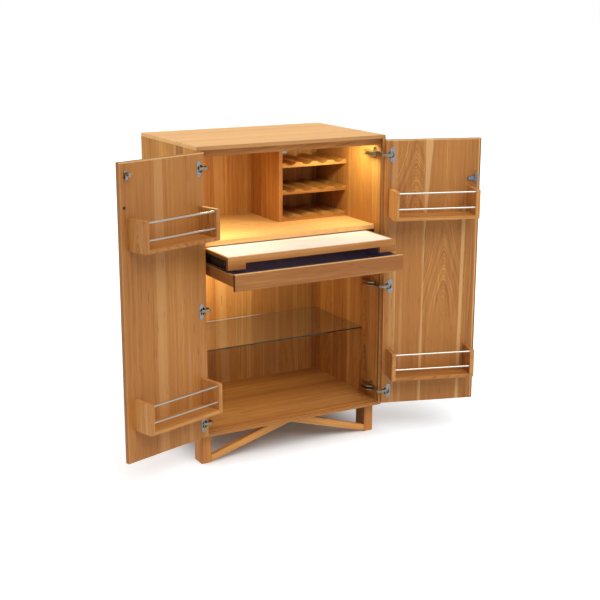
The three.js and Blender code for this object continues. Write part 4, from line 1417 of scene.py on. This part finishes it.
@dataclass(frozen=True)
class Sun:
    """A broad distant lamp, as soft as a large softbox."""

    name: str
    towards: Triple
    angle: float
    strength: float
    color: Triple = (1.0, 1.0, 0.99)

    def build(self) -> None:
        """Adds the lamp, facing the armoire."""
        lamp = add_light(self.name, "SUN", self.color, self.strength)
        lamp.data.angle = self.angle
        lamp.rotation_euler = Vector(self.towards).to_track_quat("Z", "Y").to_euler()


@dataclass(frozen=True)
class Glow:
    """A small lamp inside the cabinet."""

    name: str
    place: Triple
    target: Triple
    watts: float
    width: float = 0.16
    depth: float = 0.02
    color: Triple = (0.91, 1.0, 0.64)

    def build(self) -> None:
        """Adds the lamp, unseen by the camera."""
        lamp = add_light(self.name, "AREA", self.color, self.watts)
        lamp.data.shape = "RECTANGLE"
        lamp.data.size = self.width
        lamp.data.size_y = self.depth
        lamp.location = self.place
        aim = Vector(self.target) - Vector(self.place)
        lamp.rotation_euler = aim.to_track_quat("-Z", "Y").to_euler()
        lamp.visible_camera = False


LIGHTS = (
    Sun("key_light", (-0.08, -0.88, 1.15), angle=math.radians(50), strength=2.2),
    Sun("side_light", (-0.8, 0.35, 1.1), angle=math.radians(60), strength=0.85),
    Glow("left_upper_glow", (-0.31, -0.06, 1.335), (-0.44, 0.14, 0.96), watts=2.5),
    Glow("right_upper_glow", (0.31, -0.06, 1.335), (0.44, 0.14, 0.96), watts=1.5),
    Glow(
        "lower_glow",
        (-0.30, 0.12, 0.822),
        (-0.24, 0.42, 0.62),
        watts=3.4,
        width=0.2,
        color=(1.0, 0.96, 0.62),
    ),
)


@dataclass
class Studio:
    """Pale floor, soft light and the photograph's camera."""

    focal_pixels: float = 1194.57
    image_width: float = 600.0
    sensor: float = 36.0
    farthest: float = 200.0
    place: Triple = (-2.4629, -4.572157, 1.9874)
    azimuth: float = math.radians(-29.454)
    elevation: float = math.radians(14.376)
    roll: float = math.radians(0.139)
    floor_size: float = 60.0
    floor_drop: float = 0.2 * MM
    floor_color: tuple[float, float, float, float] = (0.83, 0.865, 0.89, 1)
    floor_roughness: float = 0.9
    floor_gloss: float = 0.1
    # Around this footprint the floor's glow is held low: a painted shadow under the case.
    shade_half_width: float = 0.44
    shade_half_depth: float = 0.296
    shade_middle: float = 0.129
    lift_start: float = -0.12
    lift_full: float = 0.10
    lift_gain: float = 0.34
    lift_least: float = 0.02
    sky_light: float = 0.40
    sky_gloss: float = 0.7

    def build(self) -> None:
        """Builds the camera, the floor, the world and the lamps."""
        self.add_camera()
        self.add_floor()
        self.set_world()
        for light in LIGHTS:
            light.build()

    def add_camera(self) -> None:
        """Stands the camera where the photograph was taken from."""
        turn, tilt, roll = self.azimuth, self.elevation, self.roll
        level = math.cos(tilt)
        forward = Vector((-math.sin(turn) * level, math.cos(turn) * level, -math.sin(tilt)))
        right = Vector((math.cos(turn), math.sin(turn), 0))
        up = right.cross(forward)
        right_rolled = right * math.cos(roll) + up * math.sin(roll)
        up_rolled = up * math.cos(roll) - right * math.sin(roll)
        data = bpy.data.cameras.new("photo_camera")
        data.sensor_width = self.sensor
        data.lens = self.focal_pixels * self.sensor / self.image_width
        data.clip_end = self.farthest
        camera = add_object("photo_camera", data)
        axes = Matrix((right_rolled, up_rolled, -forward)).transposed().to_4x4()
        camera.matrix_world = Matrix.Translation(self.place) @ axes
        bpy.context.scene.camera = camera

    def add_floor(self) -> None:
        """Lays a wide pale floor that keeps the armoire's shadow; under the case its glow is held low, which
        adds a painted shadow.
        """
        mesh = bmesh.new()
        bmesh.ops.create_grid(mesh, x_segments=1, y_segments=1, size=self.floor_size)
        bmesh.ops.translate(mesh, verts=mesh.verts, vec=(0, 0, -self.floor_drop))
        material, tree, shader = new_material("floor")
        finish = {
            "Base Color": self.floor_color,
            "Roughness": self.floor_roughness,
            "Specular IOR Level": self.floor_gloss,
        }
        tree.feed(shader, finish)
        strength = tree.times(tree.seen()[0], self.lift(tree))
        glow = tree.add("ShaderNodeEmission", {"Strength": strength})
        total = tree.add("ShaderNodeAddShader", {0: shader.outputs[0], 1: glow.outputs[0]})
        tree.put(total.outputs[0], material.node_tree.nodes["Material Output"].inputs["Surface"])
        floor = add_mesh(mesh, "floor", material)

    def lift(self, tree: Tree) -> Socket:
        """How much the floor is lifted towards white: little under the case, more around it. The low lift
        under the case is a painted shadow.

        Args:
            tree: The floor material's tree.

        Returns:
            The lift's socket.
        """
        x, y, _ = tree.split(tree.place())
        aside = tree.less(tree.math("ABSOLUTE", x), self.shade_half_width)
        depth = tree.math("ABSOLUTE", tree.less(y, self.shade_middle))
        beyond = tree.math("MAXIMUM", aside, tree.less(depth, self.shade_half_depth))
        rise = tree.smooth(beyond, self.lift_start, self.lift_full)
        return tree.weighed(rise, self.lift_gain, self.lift_least)

    def set_world(self) -> None:
        """Sets an even grey light that is seen as white."""
        world = bpy.data.worlds.new("studio")
        world.use_nodes = True
        bpy.context.scene.world = world
        tree = Tree(world.node_tree)
        seen, mirrored = tree.seen()
        strength = tree.math("MAXIMUM", seen, tree.times(mirrored, self.sky_gloss))
        strength = tree.math("MAXIMUM", strength, self.sky_light)
        tree.feed(world.node_tree.nodes["Background"], {"Color": (1, 1, 1, 1), "Strength": strength})
        bpy.context.scene.view_settings.view_transform = "Standard"


def main() -> None:
    """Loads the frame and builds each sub-assembly."""
    logging.basicConfig(level=logging.INFO, format="%(message)s")
    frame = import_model()
    Groups.build()
    nodes = frame["nodes"]
    metal = NICKEL.material()
    steel = LINK_STEEL.material()
    Case(nodes, metal, ARM_STEEL_LIT.material()).build()
    Door(nodes, Side.LEFT, metal, steel, seed=31.4, rim_share=0.12).build()
    Door(nodes, Side.RIGHT, metal, steel, seed=44.2).build()
    SlidingBoard(nodes).build()
    Drawer(nodes).build()
    Studio().build()


if __name__ == "__main__":
    main()
